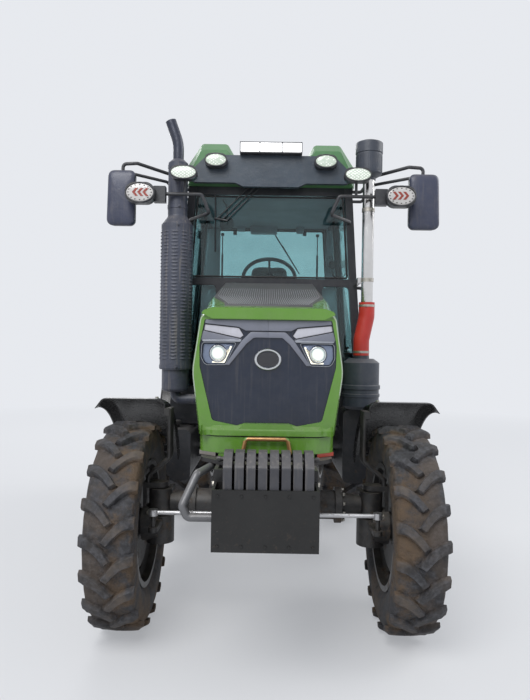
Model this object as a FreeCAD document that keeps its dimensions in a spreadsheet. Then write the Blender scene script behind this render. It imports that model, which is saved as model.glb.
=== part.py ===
import FreeCAD, Part
import math
import os

import Sketcher
from FreeCAD import Placement, Rotation, Vector

# A four wheel drive farm tractor with a cab, front weights and a rear three-point hitch.
# The tractor faces -Y and +X is its left. The origin lies on the ground under its middle.
# Millimetres and degrees. Places along Y are given behind the front axle.

SIZES = [
    # alias, value, what it is
    ("front_axle_y", -1160, "front axle, measured from the tractor's middle"),
    ("wheelbase", 2200, "rear axle behind the front axle"),
    ("seat_gap", 0.3, "clearance between a piece and what carries it"),
    ("pin_fit", 0.06, "radial clearance of a pin in its bore"),
    ("swing_gap", 7, "clearance beside pieces that turn"),
    # front wheel
    ("front_tyre_radius", 525, "front tyre over its lugs"),
    ("front_tyre_width", 241, "front tyre section"),
    ("front_wheel_x", 707.5, "middle of the front wheel"),
    ("front_rim_radius", 304, "front bead seat"),
    ("front_rim_half", 92, "half the width between the front rim's flanges"),
    ("front_lug_height", 30, "front lug"),
    ("front_lug_width", 50, "front lug, along the tread"),
    ("front_lug_count", 19, "front lugs in one row"),
    ("front_flat_count", 24, "flats round the front tyre"),
    ("front_disc_x", -52, "front disc's inner face from the wheel's middle"),
    ("front_hub_radius", 70, "front hub"),
    ("front_stub_radius", 30, "front stub shaft"),
    ("front_stub_length", 42, "front stub shaft in its bore"),
    # rear wheel
    ("rear_tyre_radius", 682.5, "rear tyre over its lugs"),
    ("rear_tyre_width", 378, "rear tyre section"),
    ("rear_wheel_x", 640, "middle of the rear wheel"),
    ("rear_rim_radius", 355, "rear bead seat"),
    ("rear_rim_half", 160, "half the width between the rear rim's flanges"),
    ("rear_lug_height", 36, "rear lug"),
    ("rear_lug_width", 62, "rear lug, along the tread"),
    ("rear_lug_count", 20, "rear lugs in one row"),
    ("rear_flat_count", 26, "flats round the rear tyre"),
    ("rear_disc_x", -130, "rear disc's inner face from the wheel's middle"),
    ("rear_hub_radius", 95, "rear hub"),
    ("rear_stub_radius", 38, "rear stub shaft"),
    ("rear_stub_length", 50, "rear stub shaft in its bore"),
    ("rim_wall", 8, "rim and disc"),
    ("rim_flange", 20, "rim flange above the bead seat"),
    ("lug_sweep", 10, "turn of a lug between the tread's middle and its edge"),
    # front axle and knuckles
    ("axle_beam_z", 630, "front axle beam"),
    ("beam_radius", 74, "front axle beam"),
    ("differential_radius", 116, "middle of the front axle"),
    ("beam_flange_x", 375, "bolted flange of the axle arm"),
    ("beam_flange_radius", 92, "bolted flange of the axle arm"),
    ("arm_end_radius", 50, "outer end of the axle arm"),
    ("trunnion_radius", 50, "pin on which the axle rocks"),
    ("trunnion_reach", 176, "end of that pin from the axle"),
    ("kingpin_x", 550, "kingpin"),
    ("kingpin_radius", 28, "kingpin"),
    ("barrel_radius", 61, "bevel case at the end of the axle"),
    ("barrel_bottom_z", 575, "bevel case"),
    ("barrel_top_z", 705, "bevel case"),
    ("knuckle_case_radius", 72, "final drive case"),
    ("knuckle_case_bottom_z", 428, "final drive case"),
    ("final_drum_radius", 94, "final drive drum"),
    ("final_drum_face_x", 638, "outer face of the final drive drum"),
    ("knuckle_web", 18, "web beside the bevel case"),
    ("knuckle_web_half", 42, "half the width of that web"),
    ("knuckle_cap_thick", 26, "cap over the bevel case"),
    ("steer_arm_reach", 215, "steering arm ahead of the axle"),
    ("steer_arm_z", 536, "underside of the steering arm"),
    ("steer_arm_thick", 24, "steering arm"),
    ("tie_pin_top_z", 612, "pin on the steering arm"),
    ("cylinder_z", 632, "steering cylinder"),
    ("cylinder_radius", 32, "steering cylinder"),
    ("cylinder_half", 240, "half the length of the steering cylinder"),
    ("cylinder_rod_radius", 11, "steering rod"),
    ("rod_eye_radius", 23, "eye of the steering rod"),
    # front fenders
    ("front_fender_radius", 646, "front fender, from the wheel's centre"),
    ("front_fender_in_x", 532, "inner edge of the front fender"),
    ("front_fender_out_x", 900, "outer edge of the front fender"),
    ("front_fender_ahead", 2, "front end of the fender, ahead of the top"),
    ("front_fender_arc", 67, "turn of the fender round the wheel"),
    ("fender_wall", 6, "wall of the fenders"),
    ("fender_stay_radius", 12, "stay of the front fender"),
    ("fender_skirt", 92, "inner skirt of the front fender"),
    ("fender_lip", 54, "lip at the outer edge of the front fender"),
    # front frame and weights
    ("frame_half", 221, "half the width over the frame plates"),
    ("frame_plate", 16, "frame plates"),
    ("frame_bottom_z", 770, "frame plates"),
    ("frame_top_z", 930, "frame plates"),
    ("frame_front", -620, "front end of the frame plates"),
    ("frame_rear", 620, "rear end of the frame plates"),
    ("saddle_bottom_z", 556, "plates that hold the axle's pin"),
    ("saddle_near", 150, "plates that hold the axle's pin, from the axle"),
    ("saddle_plate", 28, "plates that hold the axle's pin"),
    ("lip_half", 300, "half the width of the lower lip"),
    ("lip_thick", 18, "lower lip"),
    ("weight_box_half", 215, "half the width of the weight box"),
    ("weight_box_front", -782, "front of the weight box"),
    ("weight_box_bottom_z", 632, "weight box"),
    ("weight_box_top_z", 880, "weight box"),
    ("weight_box_wall", 10, "weight box"),
    ("weight_count", 8, "suitcase weights"),
    ("weight_pitch", 47, "suitcase weights, middle to middle"),
    ("weight_thick", 36, "suitcase weight"),
    ("weight_shift", 10, "middle of the row of weights, to the left of the tractor's middle"),
    ("weight_top_z", 1022, "suitcase weights"),
    ("weight_face_z", 968, "top of the weights' upright face"),
    ("guard_tube_radius", 17.5, "bent tube beside the weights"),
    # engine and transmission
    ("engine_half", 178, "half the width of the engine"),
    ("engine_front", -100, "front of the engine"),
    ("engine_bottom_z", 780, "engine"),
    ("engine_top_z", 1330, "engine"),
    ("gearbox_half", 190, "half the width of the gearbox"),
    ("gearbox_front", 925, "front of the gearbox"),
    ("gearbox_bottom_z", 540, "gearbox"),
    ("gearbox_top_z", 900, "gearbox"),
    ("rear_case_half", 235, "half the width of the rear axle case"),
    ("rear_case_front", 1985, "front of the rear axle case"),
    ("rear_case_back", 2420, "back of the rear axle case"),
    ("rear_case_bottom_z", 470, "rear axle case"),
    ("lift_cover_front", 2125, "front of the hydraulic cover"),
    ("lift_cover_top_z", 1040, "hydraulic cover"),
    ("lift_cover_half", 170, "half the width of the hydraulic cover"),
    ("axle_tube_radius", 88, "rear axle tube"),
    ("axle_flange_radius", 118, "flange of the rear axle tube"),
    ("axle_flange_x", 492, "outer face of the rear axle flange"),
    ("shaft_tube_radius", 38, "tube round the front drive shaft"),
    ("pto_radius", 17.4, "power take-off shaft"),
    ("pto_length", 78, "power take-off shaft"),
    ("pto_z", 640, "power take-off shaft"),
    # hood
    ("hood_wall", 10, "wall of the hood"),
    ("hood_split_z", 1045, "seam between the hood and the lower nose"),
    ("hood_front", -400, "front edge of the hood"),
    ("hood_rear", 770, "rear edge of the hood"),
    ("hood_rear_half", 318, "half the width of the hood at its rear"),
    ("hood_rear_top_z", 1857, "top of the hood at its rear"),
    ("hood_rear_bottom_z", 1215, "bottom of the hood at its rear"),
    ("hood_edge_radius", 45, "rounded edges of the hood"),
    ("hood_waist_z", 1335, "widest height of the hood at its front"),
    ("hood_face", 24, "depth of the hood's front face"),
    ("brow_reach", 16, "brow ahead of the hood's face"),
    ("chin_reach", 28, "chin ahead of the hood's face"),
    ("nose_depth", 46, "depth of the nose mask"),
    ("nose_set_back", 10, "nose mask behind the hood's face"),
    ("lamp_pocket", 18, "depth of the headlamp pockets"),
    ("strip_thick", 6, "lens strip above the headlamp"),
    ("lamp_x", 231, "headlamp lens"),
    ("lamp_z", 1418, "headlamp lens"),
    ("lamp_radius", 35, "headlamp lens"),
    ("bumper_half", 312, "half the width of the lower nose"),
    ("bumper_bottom_z", 966, "lower nose"),
    ("bumper_wall", 12, "wall of the lower nose"),
    ("bumper_depth", 330, "depth of the lower nose"),
    ("handle_half", 107, "half the width of the nose handle"),
    ("handle_rise", 63, "height of the nose handle"),
    ("handle_radius", 9, "tube of the nose handle"),
    ("hood_hinge_z", 1835, "hood hinge"),
    ("hood_hinge_radius", 8, "hood hinge pin"),
    # exhaust and intake
    ("stack_y", 700, "exhaust and intake stacks, behind the front axle"),
    ("muffler_x", -590, "muffler"),
    ("muffler_radius", 85, "muffler"),
    ("muffler_shield_radius", 100, "louvred heat shield"),
    ("muffler_bottom_z", 1160, "muffler"),
    ("shield_bottom_z", 1300, "heat shield"),
    ("shield_top_z", 2215, "heat shield"),
    ("exhaust_tube_radius", 62, "tube above the muffler"),
    ("exhaust_tube_top_z", 2610, "tube above the muffler"),
    ("tailpipe_radius", 34, "tailpipe"),
    ("tailpipe_top_z", 2880, "tailpipe"),
    ("stack_pipe_wall", 3, "wall of the open pipes"),
    ("cleaner_x", 594, "air cleaner"),
    ("cleaner_radius", 115.5, "air cleaner"),
    ("cleaner_bottom_z", 1067, "air cleaner"),
    ("cleaner_top_z", 1386, "air cleaner"),
    ("intake_x", 625, "intake pipe"),
    ("hose_radius", 50, "intake hose"),
    ("hose_top_z", 1744, "intake hose"),
    ("intake_radius", 37, "intake pipe"),
    ("intake_top_z", 2520, "intake pipe"),
    ("precleaner_radius", 86, "pre-cleaner"),
    ("precleaner_top_z", 2766, "pre-cleaner"),
    # tank, battery box and steps
    ("side_box_in_x", 485, "inner side of the tank and of the battery box"),
    ("side_box_out_x", 732, "outer side of the tank and of the battery box"),
    ("side_box_front", 692, "front of the tank and of the battery box"),
    ("side_box_back", 1370, "back of the tank and of the battery box"),
    ("side_box_bottom_z", 590, "tank and battery box"),
    ("side_box_top_z", 915, "tank and battery box under the cab"),
    ("battery_top_z", 1060, "front part of the battery box"),
    ("side_box_round", 40, "rounded corners of the tank"),
    ("step_out_x", 862, "outer edge of the steps"),
    ("step_low_z", 395, "lower step"),
    ("step_high_z", 655, "upper step"),
    ("step_thick", 28, "step"),
    # cab
    ("cab_lean", 4.5, "inward lean of the cab's sides"),
    ("cab_base_x", 668, "outer face of the cab's side at its base"),
    ("cab_base_z", 925, "base of the cab's frame"),
    ("cab_top_z", 2515, "top of the cab's frame"),
    ("cab_front", 930, "front face of the cab's frame"),
    ("cab_front_top", 872, "front face of the cab's frame at its top"),
    ("cab_back", 2110, "rear face of the cab's frame"),
    ("belt_z", 1915, "lower edge of the windshield"),
    ("cab_tube", 50, "thickness of the cab's frame"),
    ("post_width", 55, "width of the cab's posts"),
    ("door_sill_z", 978, "lower edge of the door opening"),
    ("door_heel_y", 1385, "rear end of the door's sill"),
    ("door_haunch_y", 1530, "front end of the door's edge above the fender"),
    ("door_rear", 1712, "rear edge of the door opening"),
    ("door_haunch_z", 1300, "door opening above the fender"),
    ("door_head_z", 2462, "upper edge of the door opening"),
    ("door_gap", 7, "gap round the door"),
    ("door_thick", 36, "door"),
    ("door_rail", 46, "rails and stiles of the door"),
    ("door_waist_z", 1400, "bar across the door's glass"),
    ("door_corner", 30, "rounded corners of the doors and windows"),
    ("glass", 6, "window glass"),
    ("quarter_bottom_z", 1470, "lower edge of the quarter window"),
    ("hinge_out", 16, "door hinge outside the door's face"),
    ("hinge_pin_radius", 6, "door hinge pin"),
    ("hinge_eye_radius", 11, "door hinge eye"),
    ("hinge_eye_length", 40, "door hinge eye"),
    ("hinge_low_z", 1420, "lower door hinge"),
    ("hinge_high_z", 2330, "upper door hinge"),
    ("floor_z", 920, "underside of the cab floor"),
    ("floor_thick", 28, "cab floor"),
    ("roof_front", 800, "front edge of the roof"),
    ("roof_back", 2230, "rear edge of the roof"),
    ("roof_half", 555, "half the width of the roof"),
    ("roof_ear_z", 2795, "top of the roof's side ridges"),
    ("roof_mid_z", 2700, "top of the roof between the ridges"),
    ("roof_edge_z", 2640, "outer edge of the roof"),
    ("visor_thick", 40, "visor"),
    ("visor_top_z", 2690, "visor"),
    ("visor_mid_z", 2488, "lower edge of the visor at the middle"),
    ("visor_side_z", 2512, "lower edge of the visor at its sides"),
    # mirrors and side lamps
    ("mirror_y", 680, "mirrors"),
    ("mirror_z", 2380, "middle of the mirrors"),
    ("mirror_arm_z", 2606, "upper tube of the mirrors"),
    ("mirror_left_x", 972, "left mirror"),
    ("mirror_left_half", 95, "half the width of the left mirror"),
    ("mirror_right_x", 945, "right mirror"),
    ("mirror_right_half", 88, "half the width of the right mirror"),
    ("side_lamp_x", 535, "side work lamp"),
    ("side_lamp_y", 598, "back of the side work lamp"),
    ("side_lamp_z", 2513, "side work lamp"),
    ("side_tube_z", 2397, "tube that carries the side lamps"),
    ("indicator_z", 2385, "indicator"),
    ("indicator_x", 800, "indicator"),
    # rear fenders
    ("rear_fender_radius", 740, "rear fender, from the wheel's centre"),
    ("rear_fender_in_x", 436, "inner wall of the rear fender"),
    ("rear_fender_out_x", 836, "outer edge of the rear fender"),
    ("rear_fender_ahead", 88, "front end of the fender, ahead of the top"),
    ("rear_fender_arc", 138, "turn of the fender round the wheel"),
    # seat and controls
    ("seat_half", 245, "half the width of the seat"),
    ("seat_front", 1520, "front of the seat"),
    ("seat_z", 1400, "top of the seat cushion"),
    ("seat_back_top_z", 1900, "top of the seat's back"),
    ("wheel_tilt", 40, "tilt of the steering wheel"),
    ("steering_wheel_radius", 195, "steering wheel, to the middle of its rim"),
    ("steering_rim_radius", 13.5, "rim of the steering wheel"),
    ("steering_wheel_y", 1410, "steering wheel"),
    ("steering_wheel_z", 1966, "steering wheel"),
    ("column_radius", 12, "end of the steering shaft"),
    # hitch
    ("link_x", 345, "lower links"),
    ("link_pivot_y", 2290, "pivot of the lower links"),
    ("link_pivot_z", 440, "pivot of the lower links"),
    ("link_end_y", 3080, "ball ends of the lower links"),
    ("link_end_z", 335, "ball ends of the lower links"),
    ("link_thick", 20, "lower link bar"),
    ("link_eye_radius", 38, "eyes of the lower links"),
    ("link_bore_radius", 11.2, "bore of the lower link balls"),
    ("link_pin_radius", 14, "pins of the lower links"),
    ("lift_pivot_y", 2300, "lift shaft"),
    ("lift_pivot_z", 985, "lift shaft"),
    ("lift_shaft_radius", 32, "lift shaft"),
    ("lift_arm_x", 200, "inner face of the lift arms"),
    ("lift_arm_thick", 26, "lift arm"),
    ("lift_arm_end_y", 2560, "end of the lift arms"),
    ("lift_arm_end_z", 915, "end of the lift arms"),
    ("lift_rod_radius", 15, "lift rod"),
    ("drawbar_z", 330, "underside of the drawbar"),
    ("drawbar_thick", 32, "drawbar"),
    ("drawbar_half", 36, "half the width of the drawbar"),
    ("drawbar_end", 2760, "end of the drawbar"),
    ("drawbar_hole_radius", 14, "drawbar pin hole"),
]


class Size:
    """A length or angle: its number, and the formula that ties a feature to the sheet."""

    def __init__(self, number, formula):
        self.number = number
        self.formula = formula

    def __add__(self, other):
        other = as_size(other)
        return Size(self.number + other.number, f"({self.formula} + {other.formula})")

    def __sub__(self, other):
        other = as_size(other)
        return Size(self.number - other.number, f"({self.formula} - {other.formula})")

    def __mul__(self, other):
        other = as_size(other)
        return Size(self.number * other.number, f"({self.formula} * {other.formula})")

    def __truediv__(self, other):
        other = as_size(other)
        return Size(self.number / other.number, f"({self.formula} / {other.formula})")

    def __neg__(self):
        return Size(-self.number, f"(0 - {self.formula})")

    __radd__ = __add__
    __rmul__ = __mul__

    def __rsub__(self, other):
        return as_size(other) - self


def as_size(value):
    """A plain number as a Size."""
    if isinstance(value, Size):
        return value
    return Size(float(value), f"({float(value)!r})")


def number(value):
    """The number of a Size or of a plain number."""
    return as_size(value).number


def sine(angle):
    return Size(math.sin(math.radians(angle.number)), f"sin({angle.formula})")


def cosine(angle):
    return Size(math.cos(math.radians(angle.number)), f"cos({angle.formula})")


def tangent(angle):
    return sine(angle) / cosine(angle)


document = FreeCAD.newDocument("farm_tractor")
sheet = document.addObject("Spreadsheet::Sheet", "sizes")
for row, (alias, value, meaning) in enumerate(SIZES, start=1):
    sheet.set(f"A{row}", meaning)
    sheet.set(f"B{row}", str(value))
    sheet.setAlias(f"B{row}", alias)
document.recompute()


class Sheet:
    """Reads a driving size from the sheet by its alias."""

    def __getattr__(self, alias):
        return Size(float(getattr(sheet, alias)), f"sizes.{alias}")


d = Sheet()
nodes = {}


def behind(distance):
    """A place along Y, given behind the front axle."""
    return d.front_axle_y + distance


# Features


def bind(feature, path, value):
    """Ties one property of a feature to the sheet."""
    feature.setExpression(path, as_size(value).formula)


def place(feature, x=0, y=0, z=0, turn=None, about=(1, 0, 0)):
    """Puts a feature at a point, turned about an axis by an angle."""
    if turn is not None:
        feature.Placement = Placement(Vector(), Rotation(Vector(*about), number(turn)))
        bind(feature, "Placement.Rotation.Angle", turn)
    for axis, value in zip("xyz", (x, y, z)):
        bind(feature, f"Placement.Base.{axis}", value)
    return feature


def block(x, y, z):
    """A box between three pairs of low and high places."""
    feature = document.addObject("Part::Box", "block")
    for side, (low, high) in zip(("Length", "Width", "Height"), (x, y, z)):
        bind(feature, side, as_size(high) - low)
    return place(feature, x[0], y[0], z[0])


UPRIGHT_TO = {"x": Rotation(Vector(0, 1, 0), 90), "y": Rotation(Vector(1, 0, 0), -90), "z": Rotation()}


def rod(radius, length, x, y, z, along="z"):
    """A round bar that starts at a point and runs along an axis."""
    feature = document.addObject("Part::Cylinder", "rod")
    bind(feature, "Radius", radius)
    bind(feature, "Height", length)
    feature.Placement = Placement(Vector(), UPRIGHT_TO[along])
    return place(feature, x, y, z)


def fuse(*parts):
    feature = document.addObject("Part::MultiFuse", "joined")
    feature.Shapes = list(parts)
    return feature


def cut(base, *tools):
    feature = document.addObject("Part::Cut", "cut")
    feature.Base = base
    feature.Tool = tools[0] if len(tools) == 1 else fuse(*tools)
    return feature


def mirrored(source):
    """The same piece on the other side of the tractor."""
    feature = document.addObject("Part::Mirroring", "mirrored")
    feature.Source = source
    feature.Base = Vector()
    feature.Normal = Vector(1, 0, 0)
    return feature


def node(label, feature):
    feature.Label = label
    nodes[label] = feature
    return feature


def pair(label, left):
    """Registers a left piece, and its mirror image on the right."""
    node(f"{label}_left", left)
    node(f"{label}_right", mirrored(left))
    return left


# Sketches: a corner is (across, up) or (across, up, rounding radius)


def rounded_corner(before, corner, after, radius):
    """The two tangent points and the centre of a rounded corner."""
    towards = [(before - corner).normalize(), (after - corner).normalize()]
    half = towards[0].getAngle(towards[1]) / 2
    reach = radius / math.tan(half)
    first = corner + towards[0] * reach
    last = corner + towards[1] * reach
    centre = corner + (towards[0] + towards[1]).normalize() * (radius / math.sin(half))
    return first, last, centre


def draw_outline(sketch, corners):
    """Draws a closed outline of lines and rounded corners, and ties it to the sheet."""
    points = [Vector(number(c[0]), number(c[1]), 0) for c in corners]
    count = len(points)
    ends = []
    for i, corner in enumerate(corners):
        point = points[i]
        if len(corner) == 2:
            ends.append((point, point, None))
            continue
        ends.append(rounded_corner(points[i - 1], point, points[(i + 1) % count], number(corner[2])))
    lines = []
    for i in range(count):
        start = ends[i][1]
        stop = ends[(i + 1) % count][0]
        lines.append(sketch.addGeometry(Part.LineSegment(start, stop), False))
    for i, corner in enumerate(corners):
        line_in, line_out = lines[i - 1], lines[i]
        if len(corner) == 2:
            sketch.addConstraint(Sketcher.Constraint("Coincident", line_in, 2, line_out, 1))
            fix_point(sketch, line_out, 1, corner)
            continue
        round_corner(sketch, line_in, line_out, points[i], ends[i], corner)


def fix_point(sketch, geometry, end, corner):
    """Holds a point of the sketch at the corner's place."""
    for kind, value in zip(("DistanceX", "DistanceY"), corner):
        index = sketch.addConstraint(Sketcher.Constraint(kind, -1, 1, geometry, end, number(value)))
        if isinstance(value, Size):
            sketch.setExpression(f"Constraints[{index}]", value.formula)


def round_corner(sketch, line_in, line_out, point, ends, corner):
    """Draws the arc of a rounded corner, tangent to both of its lines."""
    first, last, centre = ends
    circle = Part.Circle(centre, Vector(0, 0, 1), number(corner[2]))
    turn = (first - centre).cross(last - centre).z
    begin, finish = (first, last) if turn > 0 else (last, first)
    arc = sketch.addGeometry(Part.ArcOfCircle(circle, circle.parameter(begin), circle.parameter(finish)))
    at_first, at_last = (1, 2) if turn > 0 else (2, 1)
    mark = sketch.addGeometry(Part.Point(point), True)
    fix_point(sketch, mark, 1, corner[:2])
    sketch.addConstraint(Sketcher.Constraint("Tangent", line_in, 2, arc, at_first))
    sketch.addConstraint(Sketcher.Constraint("Tangent", arc, at_last, line_out, 1))
    sketch.addConstraint(Sketcher.Constraint("PointOnObject", mark, 1, line_in))
    sketch.addConstraint(Sketcher.Constraint("PointOnObject", mark, 1, line_out))
    index = sketch.addConstraint(Sketcher.Constraint("Radius", arc, number(corner[2])))
    if isinstance(corner[2], Size):
        sketch.setExpression(f"Constraints[{index}]", corner[2].formula)


def draw_circle(sketch, x, y, radius):
    geometry = sketch.addGeometry(Part.Circle(Vector(number(x), number(y), 0), Vector(0, 0, 1), number(radius)))
    fix_point(sketch, geometry, 3, (x, y))
    index = sketch.addConstraint(Sketcher.Constraint("Radius", geometry, number(radius)))
    if isinstance(radius, Size):
        sketch.setExpression(f"Constraints[{index}]", radius.formula)


def new_sketch(body, plane, outline, holes=(), start=0):
    """A sketch on a plane of the body, moved along the plane's normal to its start."""
    sketch = body.newObject("Sketcher::SketchObject", "outline")
    origin_plane = [f for f in body.Origin.OriginFeatures if f.Role == f"{plane}_Plane"][0]
    sketch.AttachmentSupport = [(origin_plane, "")]
    sketch.MapMode = "FlatFace"
    forward = -as_size(start) if plane == "XZ" else as_size(start)
    bind(sketch, "AttachmentOffset.Base.z", forward)
    for shape in [outline, *holes]:
        if isinstance(shape, tuple):
            draw_circle(sketch, *shape)
        else:
            draw_outline(sketch, shape)
    return sketch


def new_body():
    return document.addObject("PartDesign::Body", "body")


def pad(plane, outline, start, depth, holes=()):
    """A plate of an outline: from its start, along +X, +Y or +Z for its depth."""
    body = new_body()
    feature = body.newObject("PartDesign::Pad", "pad")
    feature.Profile = new_sketch(body, plane, outline, holes, start)
    feature.Reversed = plane == "XZ"
    bind(feature, "Length", depth)
    return body


def revolve(outline, about, angle=360, holes=()):
    """A turned piece: its outline in the XZ plane goes round the X or the Z axis."""
    body = new_body()
    sketch = new_sketch(body, "XZ", outline, holes)
    feature = body.newObject("PartDesign::Revolution", "turned")
    feature.Profile = sketch
    feature.ReferenceAxis = (sketch, ["H_Axis" if about == "x" else "V_Axis"])
    bind(feature, "Angle", angle)
    return body


def loft(plane, sections, body=None, kind="PartDesign::AdditiveLoft"):
    """A straight-sided loft through outlines, each given with its place along the normal."""
    body = body or new_body()
    sketches = [new_sketch(body, plane, outline, start=start) for start, outline in sections]
    feature = body.newObject(kind, "loft")
    feature.Profile = sketches[0]
    feature.Sections = sketches[1:]
    feature.Ruled = True
    return body


def tube(points, radius, bend, wall=None):
    """A bent tube or rod: straight runs joined by tangent arcs of one radius."""
    path = [Vector(*(number(value) for value in point)) for point in points]
    edges = []
    start = path[0]
    for before, corner, after in zip(path, path[1:], path[2:]):
        first, last, centre = rounded_corner(before, corner, after, number(bend))
        middle = centre + (corner - centre).normalize() * number(bend)
        edges.append(Part.LineSegment(start, first).toShape())
        edges.append(Part.Arc(first, middle, last).toShape())
        start = last
    edges.append(Part.LineSegment(start, path[-1]).toShape())
    spine = Part.Wire(edges)
    direction = path[1] - path[0]

    def sweep(circle_radius):
        ring = Part.Wire([Part.makeCircle(circle_radius, path[0], direction)])
        return spine.makePipeShell([ring], True, True)

    shape = sweep(number(radius))
    if wall is not None:
        shape = shape.cut(sweep(number(radius) - number(wall)))
    feature = document.addObject("Part::Feature", "tube")
    feature.Shape = shape
    return feature


# Tyres: a carcass of flats round the axle, and two rows of hooked lugs in a herringbone


def flat_solid(outlines):
    """A solid closed by flat faces, each given as its corners in turn."""
    shell = Part.Shell([Part.Face(Part.makePolygon([*corners, corners[0]])) for corners in outlines])
    solid = Part.Solid(shell)
    if solid.Volume < 0:
        solid.reverse()
    return solid


def side_flats(rows):
    """The flats between each row of corners and the next one."""
    return [
        (row[i - 1], row[i], following[i], following[i - 1])
        for row, following in rows for i in range(len(row))
    ]


def on_tread(x, reach, turn):
    """A point of the tyre: its place along the axle, its distance from it and its turn round it."""
    return Vector(x, -reach * math.sin(turn), reach * math.cos(turn))


def carcass(radius, width, rim_radius, rim_half, lug_height, flat_count):
    """The tyre without its lugs, from bead to bead and closed under the beads."""
    base = radius - lug_height
    half = width / 2
    step = 2 * math.pi / flat_count
    bead = rim_half - d.seat_gap.number
    seat = (rim_radius + d.seat_gap.number) / math.cos(step / 2)
    flange = (rim_radius + d.rim_flange.number) / math.cos(step / 2)
    side = (base + rim_radius) / 2 + 6
    section = [(bead, seat), (bead, flange), (half * 0.985, side), (half * 0.80, base - 7)]
    section += [(-x, reach) for x, reach in reversed(section)]
    rows = [[on_tread(x, reach, index * step) for x, reach in section] for index in range(flat_count)]
    return flat_solid(side_flats(zip(rows, rows[1:] + rows[:1])))


# a lug's two ends: share of the tyre's half width, drop of its head, its width as a share of the lug's own
LUG_ENDS = [(-0.05, 1.5, 0.64), (0.77, 9, 0.92)]
LUG_FOOT = 1.22
LUG_DEPTH = 1.9


def lug(axis_turn, side, radius, width, lug_width, lug_height, sweep):
    """One lug: a tapered bar from the tread's middle to its shoulder, wider at its outer end."""
    ends = [
        on_tread(side * across * width / 2, radius - drop, axis_turn - share * math.radians(sweep))
        for share, (across, drop, _) in enumerate(LUG_ENDS)
    ]
    middle = (ends[0] + ends[1]) / 2
    along = (ends[1] - ends[0]).normalize()
    sideways = Vector(0, middle.y, middle.z).cross(along).normalize()
    outward = along.cross(sideways).normalize()
    if outward.dot(middle) < 0:
        outward = -outward
    head = []
    for (_, _, wide), end, sign in ((LUG_ENDS[0], ends[0], 1), (LUG_ENDS[1], ends[1], -1)):
        half = sideways * (sign * wide * lug_width / 2)
        head += [end - half, end + half]
    foot = [middle + (corner - middle) * LUG_FOOT - outward * (LUG_DEPTH * lug_height) for corner in head]
    return flat_solid([head, foot, *side_flats([(head, foot)])])


def lug_rows(radius, width, lug_width, lug_height, count):
    """Both rows of lugs, the right one half a pitch on."""
    pitch = 2 * math.pi / count
    return [
        lug((index + shift) * pitch, side, radius, width, lug_width, lug_height, d.lug_sweep.number)
        for side, shift in ((1, 0), (-1, 0.5)) for index in range(count)
    ]


def rim(rim_radius, rim_half, disc_x, hub_radius, stub_radius, stub_length, hub_face):
    """A rim with flanges and a drop centre, a dished disc, a hub and its stub shaft."""
    wall = d.rim_wall
    flange = rim_radius + d.rim_flange
    well = rim_radius - 26
    outline = [
        (-rim_half - wall, flange), (-rim_half, flange), (-rim_half, rim_radius),
        (-rim_half + 26, rim_radius), (-rim_half + 42, well), (rim_half - 42, well),
        (rim_half - 26, rim_radius), (rim_half, rim_radius), (rim_half, flange),
        (rim_half + wall, flange), (rim_half + wall, rim_radius - wall),
        (rim_half - 30, rim_radius - wall), (rim_half - 46, well - wall),
        (disc_x + 34, well - wall), (disc_x + wall + 4, well - 46),
        (disc_x + wall + 30, hub_radius + 34), (disc_x + wall, hub_radius + 16),
        (disc_x + wall, hub_radius), (disc_x + 44, hub_radius * 0.62), (disc_x + 44, 0),
        (hub_face - stub_length, 0), (hub_face - stub_length, stub_radius),
        (hub_face, stub_radius), (hub_face, hub_radius), (disc_x, hub_radius),
        (disc_x, hub_radius + 16), (disc_x + 22, hub_radius + 34), (disc_x - 4, well - 46),
        (disc_x + 22, well - wall), (-rim_half + 46, well - wall),
        (-rim_half + 30, rim_radius - wall), (-rim_half - wall, rim_radius - wall),
    ]
    return revolve(outline, "x")


def wheel(axle, y):
    """One axle's tyre and rim, on the left and on the right."""
    def size(name):
        return getattr(d, f"{axle}_{name}")

    radius = size("tyre_radius")
    over_tread = [size(name).number for name in ("tyre_radius", "tyre_width")]
    lug_sizes = [size(name).number for name in ("lug_width", "lug_height")]
    body = carcass(*over_tread, size("rim_radius").number, size("rim_half").number, lug_sizes[1],
                   round(size("flat_count").number))
    tyre = document.addObject("Part::Feature", "tyre")
    tyre.Shape = body.fuse(lug_rows(*over_tread, *lug_sizes, round(size("lug_count").number)))
    pair(f"tyre_{axle}", place(tyre, size("wheel_x"), y, radius))
    face = d.final_drum_face_x if axle == "front" else d.axle_flange_x
    hub_face = face + 5 - size("wheel_x")
    hub = rim(size("rim_radius"), size("rim_half"), size("disc_x"), size("hub_radius"),
              size("stub_radius"), size("stub_length"), hub_face)
    pair(f"rim_{axle}", place(hub, size("wheel_x"), y, radius))


rear_axle_y = behind(d.wheelbase)
wheel("front", d.front_axle_y)
wheel("rear", rear_axle_y)

# Front axle: a beam with a differential, bolted arms and a bevel case at each end

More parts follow.
